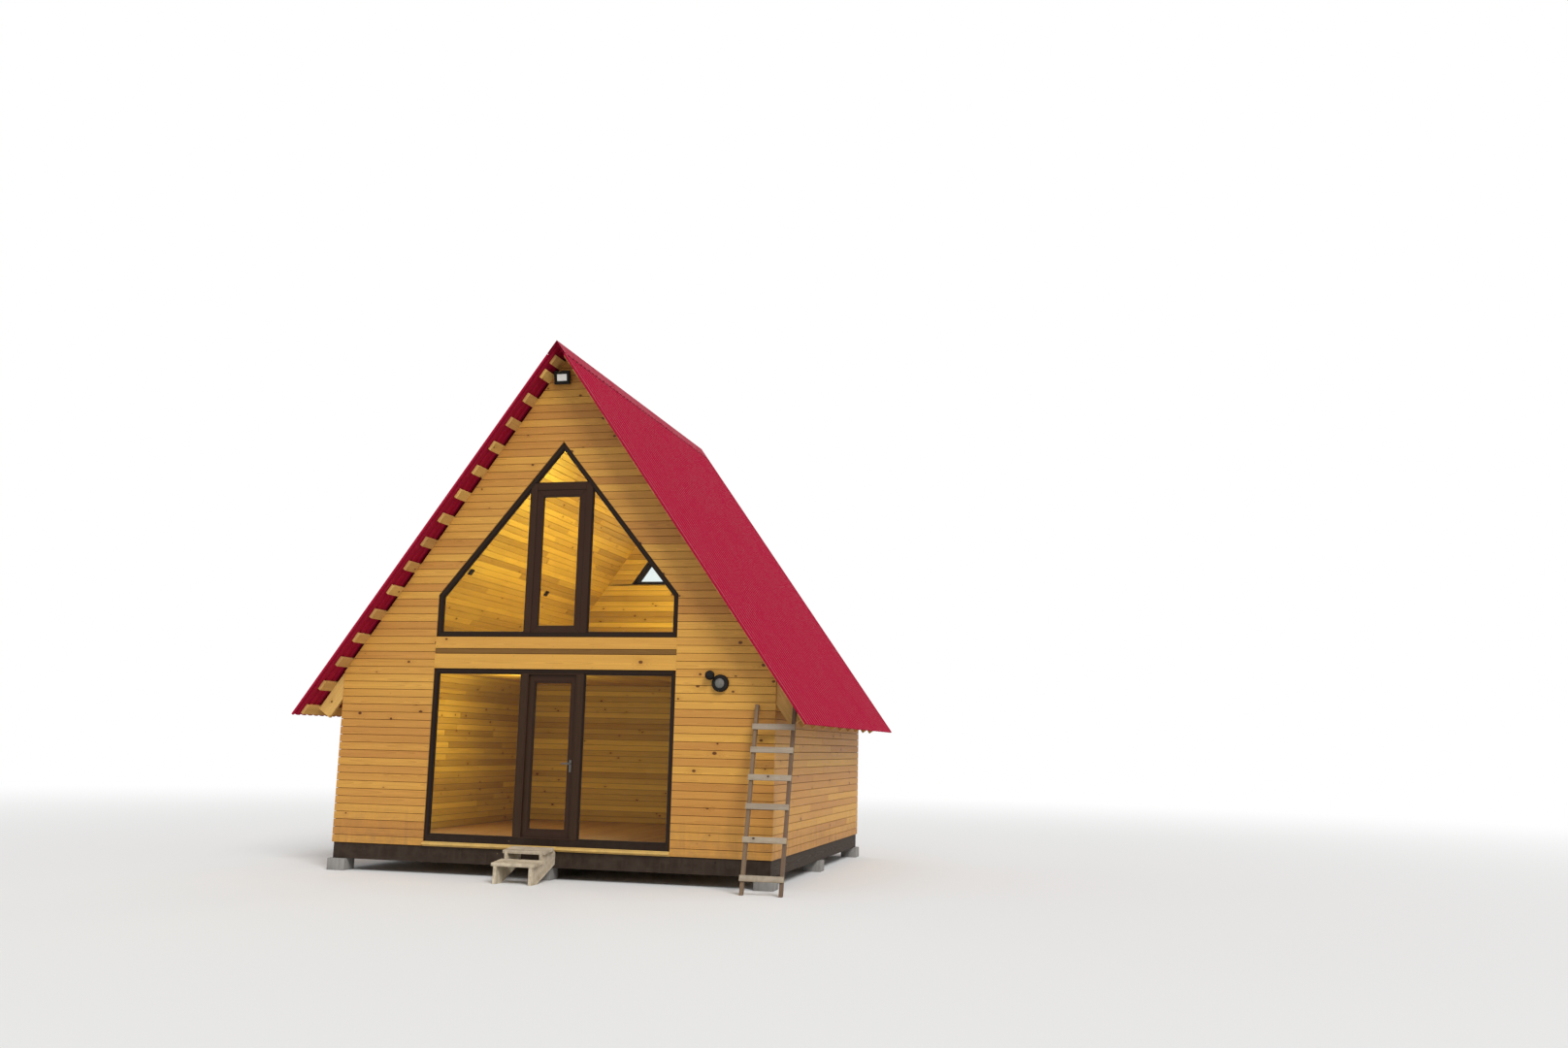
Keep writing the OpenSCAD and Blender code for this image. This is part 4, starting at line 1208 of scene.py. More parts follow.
class CABIN_OT_front_walls(bpy.types.Operator):
    """Boards of the front wall round the glazing, and the three boards of its band, the middle one
    painted dark as shade
    """

    bl_idname = "cabin.front_walls"
    bl_label = "Front Walls"

    def execute(self, context):
        settings = context.scene.cabin_boards
        gable_walls("front", front_face(lines.front_y), back_face(-lines.in_y),
                    lines.front_opening(), settings, 11,
                    ("front_wall_left", "front_wall_right", "front_gable_left",
                     "front_gable_right"))
        self.band(settings, context.scene.cabin_timber, context.scene.cabin_fittings)
        return {"FINISHED"}

    def band(self, settings, timbers, fittings):
        """Two wide boards over the glazing, and between them a narrow one that stands back,
        painted dark as shade.
        """
        # The dark finish is painted shade along the middle board.
        golden, dark, core_wood, lining = range(4)
        finishes = [cladding_finish(settings), band_shade_finish(settings), very_dark_finish(timbers),
                    lining_finish(settings)]
        band = Boards(seed=14)
        face = front_face(lines.front_y)
        layout = ((0.47, golden, 0.0), (0.16, dark, settings.set_back), (0.37, golden, 0.0))
        height = lines.sill_z - lines.head_z
        low = lines.head_z
        reach = lines.glazing_x - settings.screw_in
        spots = []
        for share, finish, depth in layout:
            high = low + share * height
            board = rectangle(-lines.glazing_x, low + settings.joint / 2,
                              lines.glazing_x, high - settings.joint / 2)
            band.add(face, board, settings.cladding_t - depth, settings.edge, depth, finish)
            if depth == 0:
                spots += [(k * reach / 3, v) for k in range(-3, 4)
                          for v in (low + settings.screw_in, high - settings.screw_in)]
            low = high
        screw_heads("band_screws", [face_matrix(face, u, v) for u, v in spots], fittings)
        core = rectangle(-lines.glazing_x, lines.head_z, lines.glazing_x, lines.sill_z)
        band.add(face, core, gable_core(settings), depth=settings.cladding_t, finish=core_wood)
        lay_lining(band, back_face(-lines.in_y), level(-lines.glazing_x, lines.glazing_x),
                   (lines.head_z, lines.sill_z), settings, settings.lining_t, lines.floor_z,
                   lining)
        band.piece("band_cladding", finishes, "pine_cladding", nodes=["storey_band"])


class CABIN_OT_back_walls(bpy.types.Operator):
    """Boards of the back wall below its three-sided window, and round that window"""

    bl_idname = "cabin.back_walls"
    bl_label = "Back Walls"

    def execute(self, context):
        gable_walls("back", back_face(-lines.front_y), front_face(lines.in_y),
                    lines.back_opening(), context.scene.cabin_boards, 21,
                    ("back_wall_left", "back_wall_right", "back_wall_middle",
                     "back_gable_left", "back_gable_right"))
        return {"FINISHED"}


class CABIN_OT_side_walls(bpy.types.Operator):
    """Boards of the low side walls and the blocking between the rafters above them"""

    bl_idname = "cabin.side_walls"
    bl_label = "Side Walls"

    def execute(self, context):
        settings = context.scene.cabin_boards
        outer = Boards(seed=31)
        inner = Boards(seed=32)
        wall_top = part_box("side_walls")[1].z
        top_z = lines.across(lines.rafter_low, lines.half_w)
        corner_z = lines.across(lines.wall_top, lines.half_w)
        behind_front = -lines.front_y - settings.cladding_t
        core_t = lines.half_w - lines.in_x - settings.cladding_t - settings.lining_t
        lengths = (settings.shortest, settings.longest)
        for side in SIDES:
            face = side_face(side * lines.half_w, side)
            lay_cladding(outer, face, level(-behind_front, behind_front),
                         (lines.base_z, top_z), settings, lengths)
            for y0, y1 in ((-behind_front, -lines.in_y), (lines.in_y, behind_front)):
                lay_cladding(outer, face, level(y0, y1), (top_z, corner_z), settings)
            core = rectangle(-lines.in_y, lines.base_z, lines.in_y, top_z)
            outer.add(face, core, core_t, depth=settings.cladding_t, finish=1)
            inside = side_face(side * lines.in_x, -side)
            lay_lining(inner, inside, level(-lines.in_y, lines.in_y), (lines.base_z, wall_top),
                       settings, settings.lining_t, lines.floor_z, lengths=lengths)
        timbers = context.scene.cabin_timber
        finishes = [cladding_finish(settings), very_dark_finish(timbers)]
        outer.piece("side_cladding", finishes, "pine_cladding", nodes=["side_walls"])
        inner.piece("side_inner_boards", [lining_finish(settings)], "lining_boards")
        timber("blocking_boards", ["eave_blocking"], cladding_finish(settings),
               timbers.edge, 33)
        return {"FINISHED"}


class CABIN_OT_base(bpy.types.Operator):
    """Piers, beams and joists under the floor"""

    bl_idname = "cabin.base"
    bl_label = "Base"

    def execute(self, context):
        settings = context.scene.cabin_timber
        pier = coat_finish("rough_concrete", settings.pier, shaded(settings.pier, 0.55),
                           fading=0.9, dustiness=0.5, scale=3.0, gloss=(0.8, 0.95), relief=0.004)
        casting("concrete_piers", ["foundation_piers"], pier, edge=0.008)
        very_dark = very_dark_finish(settings)
        timber("side_beams", ["long_beams"], very_dark, settings.edge, 41)
        timber("cross_beams", ["end_beams"], very_dark, settings.edge, 42)
        timber("sawn_floor_joists", ["floor_joists"], raw_finish(settings),
               settings.edge, 43)
        return {"FINISHED"}


class CABIN_OT_floors(bpy.types.Operator):
    """Boards of both floors, the joists between them and the ceiling of the ground room"""

    bl_idname = "cabin.floors"
    bl_label = "Floors"

    def execute(self, context):
        settings = context.scene.cabin_boards
        lengths = (settings.shortest, settings.longest)
        decks = (("ground_floor", "ground_boards", 51), ("attic_floor", "attic_boards", 52))
        for node, name, seed in decks:
            lo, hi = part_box(node)
            deck = Boards(seed)
            deck.rows(flat_face(hi.z, 1), level(lo.y, hi.y), (lo.x, hi.x), settings.floor_pitch,
                      settings.inner_joint, hi.z - lo.z, settings.edge / 2,
                      -settings.floor_pitch / 2, lengths=lengths)
            deck.piece(name, [floor_finish(settings)], "floor_boards", nodes=[node])
        lo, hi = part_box("ground_ceiling")
        ceiling = Boards(seed=53)
        lay_lining(ceiling, flat_face(lo.z, -1), level(lo.y, hi.y), (lo.x, hi.x), settings,
                   hi.z - lo.z, -settings.lining_pitch / 2, lengths=lengths)
        ceiling.piece("ceiling_boards", [lining_finish(settings)], "lining_boards",
                      nodes=["ground_ceiling"])
        timbers = context.scene.cabin_timber
        timber("sawn_attic_joists", ["attic_joists"], raw_finish(timbers),
               timbers.edge, 54)
        return {"FINISHED"}


class CABIN_OT_lining(bpy.types.Operator):
    """Lining boards along both slopes, in the attic and at the top of the ground room"""

    bl_idname = "cabin.lining"
    bl_label = "Slope Lining"

    def execute(self, context):
        settings = context.scene.cabin_boards
        lengths = (settings.shortest, settings.longest)
        ceiling_lo, ceiling_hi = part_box("ground_ceiling")
        thickness = ceiling_hi.z - ceiling_lo.z
        sin = math.sin(lines.pitch)
        inner_top = lines.rafter_low - thickness / math.cos(lines.pitch)
        lining = Boards(seed=61)
        shadow_gap = 0.004
        levels = ((lines.attic_z, lines.across(inner_top, shadow_gap)),
                  (lines.across(inner_top, lines.in_x), lines.ceiling_z))
        for side in SIDES:
            face = slope_face(side, inner_top)
            for low, high in levels:
                span = ((low - inner_top) / sin, (high - inner_top) / sin)
                lay_lining(lining, face, level(-lines.in_y, lines.in_y), span, settings,
                           thickness, 0.0, lengths=lengths)
        lining.piece("slope_boards", [lining_finish(settings)], "lining_boards",
                     nodes=["attic_lining"])
        return {"FINISHED"}


class CABIN_OT_roof_timber(bpy.types.Operator):
    """Rafters, ridge board and battens"""

    bl_idname = "cabin.roof_timber"
    bl_label = "Roof Timber"

    def execute(self, context):
        settings = context.scene.cabin_timber
        raw = raw_finish(settings)
        pale = wood_finish("pale_battens", settings.batten, dark=0.66, knot_spacing=0.4,
                           streaks=0.5, spread=0.3, gloss=(0.6, 0.8), relief=0.0012, grime=0.1,
                           sheen=0.1)
        timber("sawn_rafters", ["rafters"], raw, settings.edge, 71)
        timber("sawn_ridge_board", ["ridge_board"], raw, settings.edge, 72)
        timber("sawn_battens", ["battens"], pale, settings.edge, 73)
        self.ridge_battens(settings, context.scene.cabin_roof, pale)
        return {"FINISHED"}

    def ridge_battens(self, timbers, roof, pale):
        """The battens next to the ridge, which carry the cap."""
        lo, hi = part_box("battens")
        cos, sin = math.cos(lines.pitch), math.sin(lines.pitch)
        boards = Boards(seed=74)
        for side in SIDES:
            top = Vector((0, 0, lines.roof_apex)) + Vector((side * sin, 0, cos)) * roof.batten_t
            face = Face(top, (0, -side, 0), (side * cos, 0, -sin))
            batten = rectangle(lo.y, roof.ridge_batten, hi.y, roof.ridge_batten + roof.batten_w)
            boards.add(face, batten, roof.batten_t, timbers.edge)
        boards.piece("ridge_battens", [pale], "pale_board")


def slope_matrix(side):
    """Moves a form drawn with x down the slope and z square to it onto one slope."""
    matrix = Matrix.Translation((0, 0, lines.roof_apex)) @ Matrix.Rotation(lines.pitch, 4, "Y")
    return matrix if side > 0 else Matrix.Rotation(math.pi, 4, "Z") @ matrix


class CABIN_OT_roof_metal(bpy.types.Operator):
    """Ribbed sheets, ridge cap and rake flashings, and the screws of the sheets and cap"""

    bl_idname = "cabin.roof_metal"
    bl_label = "Roof Metal"

    def execute(self, context):
        settings = context.scene.cabin_roof
        coat = coat_finish("wine_red_coat", settings.sheet, settings.faded, fading=0.5,
                           dustiness=0.05, gloss=(0.5, 0.75), relief=0.001, sheen=0.06)
        for node in ("roof_sheets_left", "roof_sheets_right", "ridge_cap", "rake_trims"):
            dress(node, coat)
        self.screws(settings, coat)
        return {"FINISHED"}

    def screws(self, settings, coat):
        """Screws in the pans over every batten, and along the cap."""
        ridge_room = 0.05
        rounding = 1e-6
        batten_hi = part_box("battens")[1]
        sheet_lo, sheet_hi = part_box("roof_sheets_right")
        cos = math.cos(lines.pitch)
        lowest = (batten_hi.x - settings.batten_t * math.sin(lines.pitch)) / cos
        pan_z = settings.batten_t + settings.sheet_t
        rib_z = settings.batten_t + settings.rib_h
        length = sheet_hi.y - sheet_lo.y
        ribs = math.floor((length - settings.rib_w) / settings.rib_pitch + rounding) + 1
        margin = (length - (ribs - 1) * settings.rib_pitch - settings.rib_w) / 2
        first_pan = sheet_lo.y + margin + (settings.rib_pitch + settings.rib_w) / 2
        pans = [first_pan + j * settings.rib_pitch for j in range(ribs - 1)]
        pans = [y for y in pans if abs(y) < batten_hi.y - settings.washer_r]
        room = lowest - settings.batten_w - ridge_room
        count = math.floor(room / settings.batten_pitch) + 1
        mesh = bmesh.new()
        for side in SIDES:
            slope = slope_matrix(side)
            for i in range(count):
                down = lowest - settings.batten_w / 2 - i * settings.batten_pitch
                step = 1 if i in (0, count - 1) else settings.pan_step
                for y in pans[i % step::step]:
                    spot = Matrix.Translation((down, y, pan_z))
                    add_roof_screw(mesh, slope @ spot, settings.washer_r)
            for j in range(0, ribs, 2):
                rib_y = sheet_lo.y + margin + settings.rib_w / 2 + j * settings.rib_pitch
                spot = Matrix.Translation((settings.cap_screw, rib_y, rib_z + settings.sheet_t))
                add_roof_screw(mesh, slope @ spot, settings.washer_r)
        make_piece("roof_screws", to_mesh(mesh, "roof_screws"), [coat])


def add_light(boards, face, outline, settings, front, back, frame_back):
    """Beads and seals round a pane whose faces lie at two depths behind a face."""
    for start, end in ((front - settings.bead, front),
                       (back, min(frame_back, back + settings.bead))):
        boards.ring(face, outline, settings.bead, end - start, settings.edge / 2, start, FRAME)
    seal_w = settings.bead + settings.seal
    for start in (front - settings.seal_t, back):
        boards.ring(face, outline, seal_w, settings.seal_t, 0.0, start, SEAL)


def pane_depths(node, y_face):
    """Depth of a pane's outer and inner face behind a face that looks out of the front."""
    lo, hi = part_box(node)
    return lo.y - y_face, hi.y - y_face


def middle_depths(depth, pane_t):
    """Depth of a pane's two faces in the middle of a frame."""
    front = (depth - pane_t) / 2
    return front, front + pane_t


class CABIN_OT_glazed_front(bpy.types.Operator):
    """Outer frame, mullions, door stop and side panes of the glazed front, and its sill"""

    bl_idname = "cabin.glazed_front"
    bl_label = "Glazed Front"

    def execute(self, context):
        settings = context.scene.cabin_joinery
        lo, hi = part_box("glazing_frame")
        depth = hi.y - lo.y
        face = front_face(lo.y)
        boards = Boards(seed=81)
        outline = rectangle(lo.x, lo.z, hi.x, hi.z)
        widths = [settings.bottom_w, settings.frame_w, settings.frame_w, settings.frame_w]
        boards.ring(face, outline, widths, depth, settings.edge)
        inner = inset(outline, widths)
        low, high = inner[0][1], inner[2][1]
        out = settings.mullion_in + settings.mullion_w
        for side in SIDES:
            edges = sorted((side * settings.mullion_in, side * out))
            boards.add(face, rectangle(edges[0], low, edges[1], high), depth, settings.edge,
                       finish=SASH, run=UPRIGHT)
        opening = rectangle(-settings.mullion_in, low, settings.mullion_in, high)
        stop_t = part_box("door_leaf")[0].y - lo.y - settings.door_gap
        boards.ring(face, opening, settings.stop_w, stop_t, settings.edge / 2, finish=SASH)
        front, back = pane_depths("side_glass", lo.y)
        for u0, u1 in ((inner[0][0], -out), (out, inner[1][0])):
            add_light(boards, face, rectangle(u0, low, u1, high), settings, front, back, depth)
        boards.piece("glazed_front_frame", joinery_finishes(settings), "window_frame",
                     nodes=["glazing_frame"])
        dress("side_glass", glass_finish("clear_glass", settings.glass))
        timbers = context.scene.cabin_timber
        sill = wood_finish("pale_sill", timbers.batten, dark=0.66, knot_spacing=0.5, streaks=0.5,
                           spread=0.2, gloss=(0.5, 0.7), grime=0.3, everywhere=0.4)
        timber("sill_board", ["door_sill"], sill, timbers.edge, 82)
        return {"FINISHED"}


class CABIN_OT_glass_door(bpy.types.Operator):
    """The hinged leaf with its pane, lever handles and hinges"""

    bl_idname = "cabin.glass_door"
    bl_label = "Glass Door"

    def execute(self, context):
        settings = context.scene.cabin_joinery
        leaf_lo, leaf_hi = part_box("door_leaf")
        glass_lo, glass_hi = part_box("door_glass")
        lap = settings.door_lap
        lip_y = lines.frame_in_y + settings.door_gap
        leaf = Boards(seed=91)
        groove = settings.groove
        light = rectangle(glass_lo.x + groove, glass_lo.z + groove,
                          glass_hi.x - groove, glass_hi.z - groove)
        body_out = rectangle(leaf_lo.x + lap, leaf_lo.z + lap, leaf_hi.x - lap, leaf_hi.z - lap)
        lip_out = rectangle(leaf_lo.x, leaf_lo.z, leaf_hi.x, leaf_hi.z)
        for y0, y1, outline in ((leaf_lo.y, lip_y, body_out), (lip_y, leaf_hi.y, lip_out)):
            widths = [light[0][1] - outline[0][1], outline[1][0] - light[1][0],
                      outline[2][1] - light[2][1], light[0][0] - outline[0][0]]
            leaf.ring(front_face(y0), outline, widths, y1 - y0, settings.edge / 2)
        front, back = pane_depths("door_glass", leaf_lo.y)
        add_light(leaf, front_face(leaf_lo.y), light, settings, front, back,
                  leaf_hi.y - leaf_lo.y)
        leaf.piece("door_frame", sash_finishes(settings), "window_frame", body=DOOR,
                   nodes=["door_leaf"])
        dress("door_glass", glass_finish("clear_glass", settings.glass))
        steel = steel_finish(context.scene.cabin_fittings)
        casting("lever_handles", ["door_handle"], steel, edge=0.003, body=DOOR)
        casting("leaf_hinge_halves", ["leaf_hinges"], steel, edge=0.001, body=DOOR)
        casting("frame_hinge_halves", ["frame_hinges"], steel, edge=0.001)
        return {"FINISHED"}


class CABIN_OT_attic_windows(bpy.types.Operator):
    """The five-sided front window with its opening sash, and the three-sided back window"""

    bl_idname = "cabin.attic_windows"
    bl_label = "Attic Windows"

    def execute(self, context):
        settings = context.scene.cabin_joinery
        self.front_window(settings)
        self.back_window(settings)
        dress("attic_glass", glass_finish("clear_glass", settings.glass))
        return {"FINISHED"}

    def back_window(self, settings):
        """Frame and beads of the three-sided window."""
        lo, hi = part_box("back_window_frame")
        depth = hi.y - lo.y
        face = back_face(hi.y)
        boards = Boards(seed=102)
        outline = [(lo.x, lo.z), (hi.x, lo.z), (0.0, hi.z)]
        boards.ring(face, outline, settings.attic_w, depth, settings.edge)
        front, back = middle_depths(depth, settings.pane_t)
        add_light(boards, face, inset(outline, settings.attic_w), settings, front, back, depth)
        boards.piece("back_attic_frame", [profile_finish(settings), seal_finish(settings)],
                     "window_frame", nodes=["back_window_frame"])

    def front_window(self, settings):
        """Frame, mullions, transom and beads of the five-sided window, and its sash."""
        lo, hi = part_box("attic_window_frame")
        sash_lo, sash_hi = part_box("attic_sashes")
        depth = hi.y - lo.y
        face = front_face(lo.y)
        boards = Boards(seed=101)
        outline = [(lo.x, lo.z), (hi.x, lo.z), (hi.x, lines.shoulder_z), (0.0, hi.z),
                   (lo.x, lines.shoulder_z)]
        boards.ring(face, outline, settings.attic_w, depth, settings.edge)
        inner = inset(outline, settings.attic_w)
        out = settings.mullion_in + settings.mullion_w
        transom_low = sash_hi.z
        transom_high = transom_low + settings.mullion_w
        mullion = clip(clip(inner, 0, settings.mullion_in, out), 1, lo.z, transom_high)
        transom = clip(clip(inner, 0, -settings.mullion_in, settings.mullion_in), 1,
                       transom_low, transom_high)
        for member in (mullion, mirrored(mullion)):
            boards.add(face, member, depth, settings.edge, finish=SASH, run=UPRIGHT)
        boards.add(face, transom, depth, settings.edge, finish=SASH)
        front, back = middle_depths(depth, settings.pane_t)
        side_light = clip(inner, 0, out, lines.glazing_x)
        for light in (side_light, mirrored(side_light), clip(inner, 1, transom_high, hi.z)):
            add_light(boards, face, light, settings, front, back, depth)
        boards.piece("front_attic_frame", joinery_finishes(settings), "window_frame",
                     nodes=["attic_window_frame"])
        sash = Boards(seed=103)
        setback = sash_lo.y - lines.frame_y
        opening = rectangle(sash_lo.x, sash_lo.z, sash_hi.x, sash_hi.z)
        sash.ring(face, opening, settings.sash_w, depth, settings.edge, setback)
        add_light(sash, face, inset(opening, settings.sash_w), settings, front, back,
                  depth + setback)
        sash.piece("middle_sash", sash_finishes(settings), "window_frame",
                   nodes=["attic_sashes"])


class CABIN_OT_lamps(bpy.types.Operator):
    """The flood lamp, the round porch lamp with its sensor, and the boxes on the lining"""

    bl_idname = "cabin.lamps"
    bl_label = "Lamps"

    def execute(self, context):
        settings = context.scene.cabin_fittings
        housing = coat_finish("black_lamp_shell", settings.housing, shaded(settings.housing, 3.0),
                              fading=0.3, dustiness=0.04, scale=6.0, gloss=(0.5, 0.7), sheen=0.1)
        casting("flood_lamp_housing", ["flood_lamp"], housing, edge=0.003)
        casting("porch_lamp_housing", ["wall_lamp"], housing, edge=0.002)
        self.lenses(settings)
        self.bezel(settings, housing)
        casting("small_lining_boxes", ["lining_boxes"], housing, edge=0.006)
        return {"FINISHED"}

    def bezel(self, settings, housing):
        """The thick ring that holds the porch lamp's lens."""
        lo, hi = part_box("wall_lamp")
        middle = Vector((hi.x - settings.lamp_r, lines.front_y, lo.z + settings.lamp_r))
        sides = 64
        inside_body = 0.006
        rim = settings.lamp_r - inside_body
        hole, reach = settings.bezel_in, settings.bezel_reach
        # The ring's section, as radius and distance from the wall, from its back to its hole.
        profile = [(rim - 0.005, 0.046), (rim, 0.05), (rim - 0.004, 0.055),
                   (hole + 0.008, reach), (hole, reach - 0.003), (hole, reach - 0.014)]
        mesh = bmesh.new()
        rings = []
        for radius, out in profile:
            ring = []
            for i in range(sides):
                angle = math.tau * i / sides
                ring.append(mesh.verts.new(middle + Vector((radius * math.cos(angle), -out,
                                                            radius * math.sin(angle)))))
            rings.append(ring)
        for ring, after in zip(rings, rings[1:] + rings[:1]):
            for i in range(sides):
                j = (i + 1) % sides
                mesh.faces.new((ring[i], ring[j], after[j], after[i]))
        bmesh.ops.recalc_face_normals(mesh, faces=mesh.faces)
        made = to_mesh(mesh, "porch_lamp_bezel")
        shade_smooth(made)
        make_piece("porch_lamp_bezel", made, [housing])

    def lenses(self, settings):
        """The lit front of the flood lamp and the smoky one of the porch lamp."""
        lit = coat_finish("lit_lens", settings.lens, shaded(settings.lens, 0.9), fading=0.3,
                          dustiness=0.05, scale=6.0, gloss=(0.25, 0.4))
        shader = lit.node_tree.nodes["Principled BSDF"]
        shader.inputs["Emission Color"].default_value = solid_color(settings.glow)
        shader.inputs["Emission Strength"].default_value = settings.glow_strength
        smoky = coat_finish("smoky_lens", settings.smoke, shaded(settings.smoke, 1.6),
                            fading=0.5, dustiness=0.1, scale=9.0, gloss=(0.12, 0.3), sheen=0.3)
        lenses = casting("lamp_lens_glass", ["lamp_lenses"], lit, edge=0.002)
        lenses.data.materials.append(smoky)
        for polygon in lenses.data.polygons:
            polygon.material_index = int(polygon.center.z < lines.sill_z)
        led = coat_finish("led_field", settings.led, shaded(settings.led, 0.8), fading=0.3,
                          dustiness=0.05, scale=20.0, gloss=(0.3, 0.5))
        columns, rows = range(-2, 3), range(-1, 2)
        spots = [(i * settings.led_pitch, j * settings.led_pitch) for i in columns for j in rows]
        places = board_places("lamp_lenses", (0, -1, 0), spots)
        high_ones = [place for place in places if place.translation.z > lines.sill_z]
        studs("flood_lamp_leds", high_ones, settings.led_r, led)


class CABIN_OT_steps(bpy.types.Operator):
    """Two worn treads on side boards"""

    bl_idname = "cabin.steps"
    bl_label = "Steps"

    def execute(self, context):
        settings = context.scene.cabin_timber
        worn = wood_finish("worn_planks", settings.step, dark=0.62, knot_size=0.018,
                           knot_spacing=0.3, streaks=0.8, spread=0.2, gloss=(0.6, 0.85),
                           relief=0.002, grime=0.45, everywhere=0.5)
        timber("plank_treads", ["step_treads"], worn, settings.worn_edge, 111)
        timber("side_boards", ["step_stringers"], worn, settings.edge, 112)
        tread_lo, tread_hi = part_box("step_treads")
        reach = (tread_hi.x - tread_lo.x) / 2 - settings.tread_overhang
        spots = [(u, v) for u in (-reach, reach)
                 for v in (-settings.tread_screw, settings.tread_screw)]
        screw_heads("tread_screws", board_places("step_treads", (0, 0, 1), spots),
                    context.scene.cabin_fittings)
        return {"FINISHED"}


class CABIN_OT_ladder(bpy.types.Operator):
    """The home-made ladder that leans at the right corner"""

    bl_idname = "cabin.ladder"
    bl_label = "Ladder"

    def execute(self, context):
        settings = context.scene.cabin_timber
        for name, node, color, seed in (("stiles", "ladder_stiles", settings.ladder, 121),
                                        ("rungs", "ladder_rungs", settings.rung, 122)):
            wood = wood_finish("weathered_" + name, color, dark=0.6, knot_size=0.014,
                               knot_spacing=0.3, streaks=0.8, spread=0.35, gloss=(0.65, 0.9),
                               relief=0.0015, grime=0.3, everywhere=0.3)
            timber(name, [node], wood, settings.edge, seed)
        stile_lo, stile_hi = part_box("ladder_stiles")
        reach = (stile_hi.x - stile_lo.x - settings.stile_w) / 2
        spots = [(u, v) for u in (-reach, reach)
                 for v in (-settings.rung_screw, settings.rung_screw)]
        screw_heads("rung_screws", board_places("ladder_rungs", (0, -1, 0), spots),
                    context.scene.cabin_fittings)
        return {"FINISHED"}


def studio_light(name, kind, place, energy, size, color=WHITE):
    """A lamp that neither the camera nor a pane shows."""
    data = bpy.data.lights.new(name, kind)
    data.energy = energy
    data.color = color
    if kind == "SUN":
        data.angle = size
    else:
        data.shadow_soft_size = size
    lamp = bpy.data.objects.new(name, data)
    lamp.location = place
    lamp.visible_camera = False
    lamp.visible_transmission = False
    lamp.visible_glossy = False
    bpy.context.scene.collection.objects.link(lamp)
    return lamp


def seen_directly(build):
    """1 for what the camera, a gloss or a pane shows, 0 for light on the object."""
    path = build.add("ShaderNodeLightPath")
    direct = build.math("MAXIMUM", path.outputs["Is Camera Ray"], path.outputs["Is Glossy Ray"])
    return build.math("MAXIMUM", direct, path.outputs["Is Transmission Ray"])


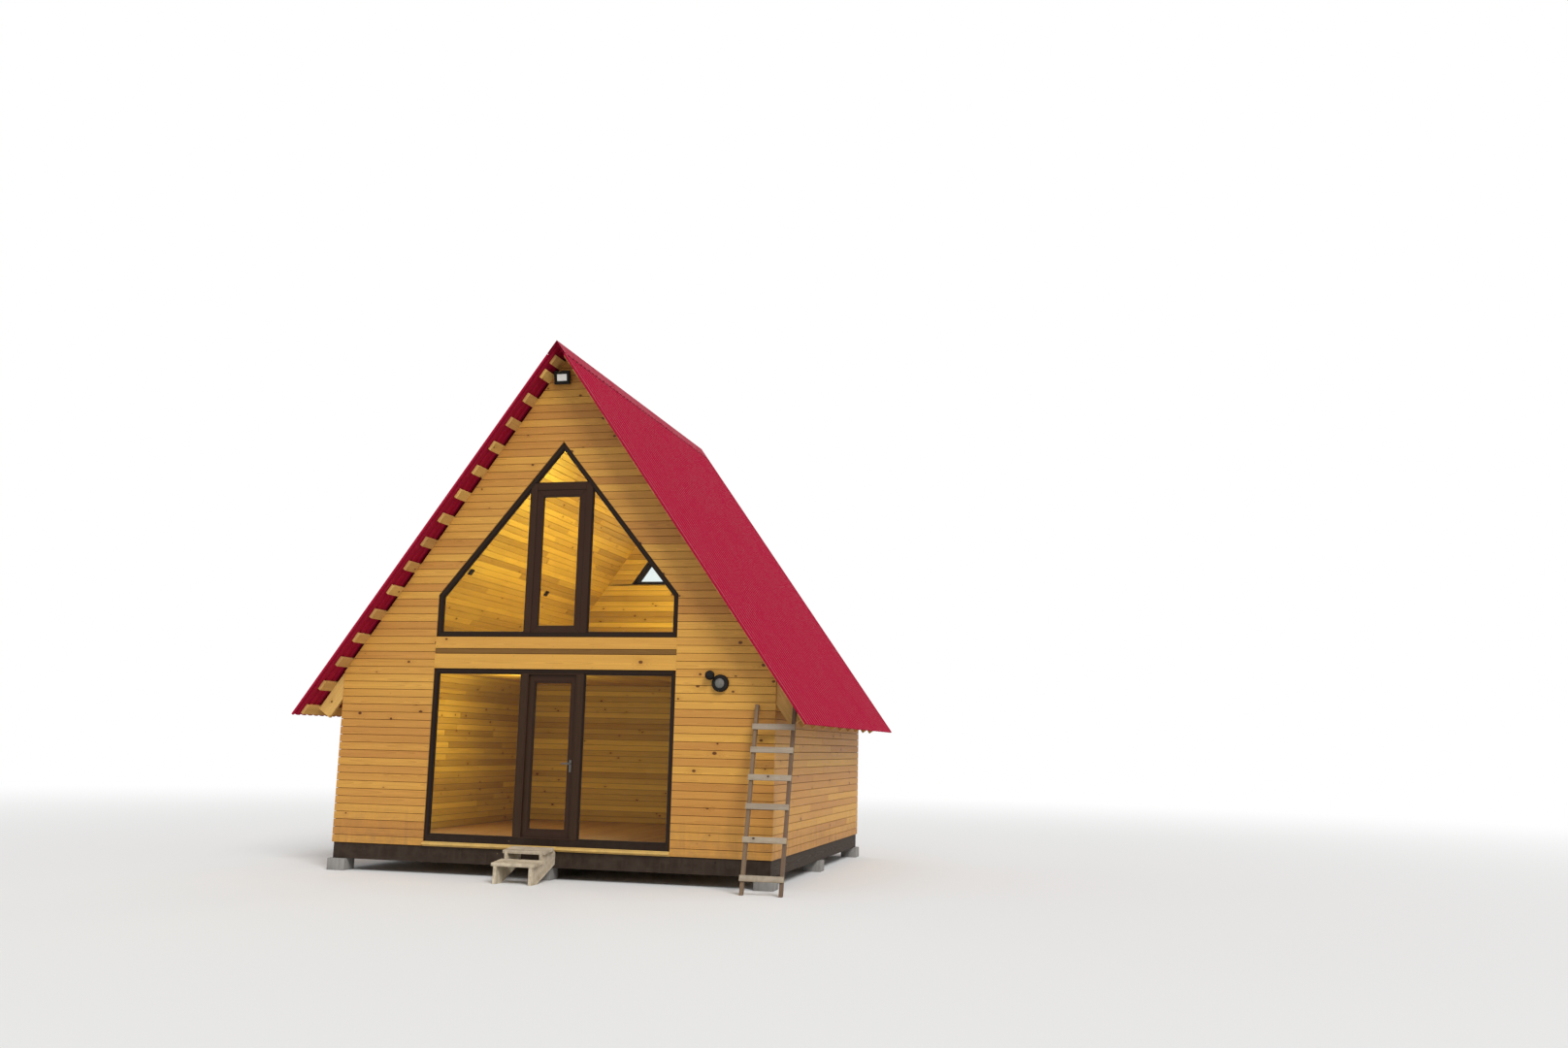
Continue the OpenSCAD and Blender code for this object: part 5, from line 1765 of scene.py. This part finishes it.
class CABIN_OT_studio(bpy.types.Operator):
    """Pale floor, soft light, white background and the camera"""

    bl_idname = "cabin.studio"
    bl_label = "Studio"

    def execute(self, context):
        settings = context.scene.cabin_studio
        self.floor(settings)
        self.background(context.scene, settings)
        high_above = (0, 0, 20)
        key = studio_light("key", "SUN", high_above, settings.sun, settings.sun_size)
        key.rotation_euler = (settings.sun_tilt, 0.0, settings.sun_turn)
        self.room_lights(settings)
        self.camera(context.scene, settings)
        context.scene.view_settings.view_transform = "Standard"
        return {"FINISHED"}

    def room_lights(self, settings):
        """Warm light in both rooms, which shows their boards through the glass."""
        attic_z = lines.attic_z + 0.85
        ridge_z = lines.window_apex - 0.35
        room_z = lines.ceiling_z - 0.6
        attic_look = (settings.attic_light, 0.2, settings.attic_color)
        lamps = (("attic_lamp_0", (0.3, -1.9, attic_z), *attic_look),
                 ("attic_lamp_1", (0.3, -0.4, attic_z), *attic_look),
                 ("attic_lamp_2", (0.3, 1.1, attic_z), *attic_look),
                 ("ridge_lamp", (0.1, -1.9, ridge_z), settings.ridge_light, 0.1,
                  settings.ridge_color),
                 ("room_lamp", (-1.5, -0.5, room_z), settings.room_light, 0.15,
                  settings.room_color))
        for name, place, power, size, color in lamps:
            studio_light(name, "POINT", place, power, size, color)

    def floor(self, settings):
        """A round floor that fades into the white background."""
        mesh = bmesh.new()
        bmesh.ops.create_circle(mesh, cap_ends=True, segments=64, radius=settings.floor_r)
        data = to_mesh(mesh, "studio_floor")
        material, build, shader = start_material("studio_floor")
        shader.inputs["Base Color"].default_value = solid_color(settings.floor)
        shader.inputs["Roughness"].default_value = 0.9
        shader.inputs["Specular IOR Level"].default_value = 0.1
        distance = build.add("ShaderNodeVectorMath", operation="LENGTH")
        build.put(build.place(), distance.inputs[0])
        far = build.spread(distance.outputs["Value"], settings.fade_start, settings.fade_end)
        white = build.add("ShaderNodeEmission")
        build.surface(build.math("MULTIPLY", far, seen_directly(build)), shader, white,
                      "Material Output")
        data.materials.append(material)
        floor = bpy.data.objects.new("studio_floor", data)
        bpy.context.scene.collection.objects.link(floor)

    def background(self, scene, settings):
        """Even light for the object, and plain white where a ray sees the world itself."""
        world = bpy.data.worlds.new("studio_world")
        scene.world = world
        world.use_nodes = True
        build = Tree(world.node_tree)
        light = world.node_tree.nodes["Background"]
        seen = build.add("ShaderNodeBackground")
        for shader, color, strength in ((light, settings.sky_color, settings.sky),
                                        (seen, WHITE, 1.0)):
            shader.inputs["Color"].default_value = solid_color(color)
            shader.inputs["Strength"].default_value = strength
        build.surface(seen_directly(build), light, seen, "World Output")

    def camera(self, scene, settings):
        """The camera that sees the cabin as the photograph does."""
        data = bpy.data.cameras.new("camera")
        data.lens = settings.lens
        data.sensor_width = SENSOR_W
        data.clip_end = 200.0
        turn, tilt, roll = settings.turn, settings.tilt, settings.roll
        forward = Vector((-math.sin(turn) * math.cos(tilt), math.cos(turn) * math.cos(tilt),
                          math.sin(tilt)))
        sideways = Vector((math.cos(turn), math.sin(turn), 0.0))
        rise = sideways.cross(forward)
        right = sideways * math.cos(roll) + rise * math.sin(roll)
        up = rise * math.cos(roll) - sideways * math.sin(roll)
        camera = bpy.data.objects.new("camera", data)
        rotation = Matrix((right, up, -forward)).transposed().to_4x4()
        camera.matrix_world = Matrix.Translation(settings.camera) @ rotation
        scene.collection.objects.link(camera)
        scene.camera = camera


PIECES = (
    CABIN_OT_front_walls, CABIN_OT_back_walls, CABIN_OT_side_walls, CABIN_OT_base,
    CABIN_OT_floors, CABIN_OT_lining, CABIN_OT_roof_timber, CABIN_OT_roof_metal,
    CABIN_OT_glazed_front, CABIN_OT_glass_door, CABIN_OT_attic_windows, CABIN_OT_lamps,
    CABIN_OT_steps, CABIN_OT_ladder, CABIN_OT_studio,
)

SETTINGS = {
    "cabin_boards": CabinBoardSettings,
    "cabin_timber": CabinTimberSettings,
    "cabin_roof": CabinRoofSettings,
    "cabin_joinery": CabinJoinerySettings,
    "cabin_fittings": CabinFittingSettings,
    "cabin_studio": CabinStudioSettings,
}


class CABIN_PT_pieces(bpy.types.Panel):
    """The cabin's settings and the operators that build it"""

    bl_idname = "CABIN_PT_pieces"
    bl_label = "A-Frame Cabin"
    bl_space_type = "VIEW_3D"
    bl_region_type = "UI"
    bl_category = "Cabin"

    def draw(self, context):
        layout = self.layout
        for name, group in SETTINGS.items():
            box = layout.box()
            box.label(text=group.__doc__)
            for field in group.__annotations__:
                box.prop(getattr(context.scene, name), field)
        for piece in PIECES:
            layout.operator(piece.bl_idname)


CLASSES = tuple(SETTINGS.values()) + PIECES + (CABIN_PT_pieces,)


def register():
    """Registers the classes and hangs the settings on the scene."""
    for cls in CLASSES:
        bpy.utils.register_class(cls)
    for name, group in SETTINGS.items():
        setattr(bpy.types.Scene, name, PointerProperty(type=group))


def unregister():
    """Takes them away again."""
    for name in SETTINGS:
        delattr(bpy.types.Scene, name)
    for cls in reversed(CLASSES):
        bpy.utils.unregister_class(cls)


def main():
    """Builds every piece."""
    register()
    for piece in PIECES:
        module, operator = piece.bl_idname.split(".")
        getattr(getattr(bpy.ops, module), operator)()


if __name__ == "__main__":
    main()
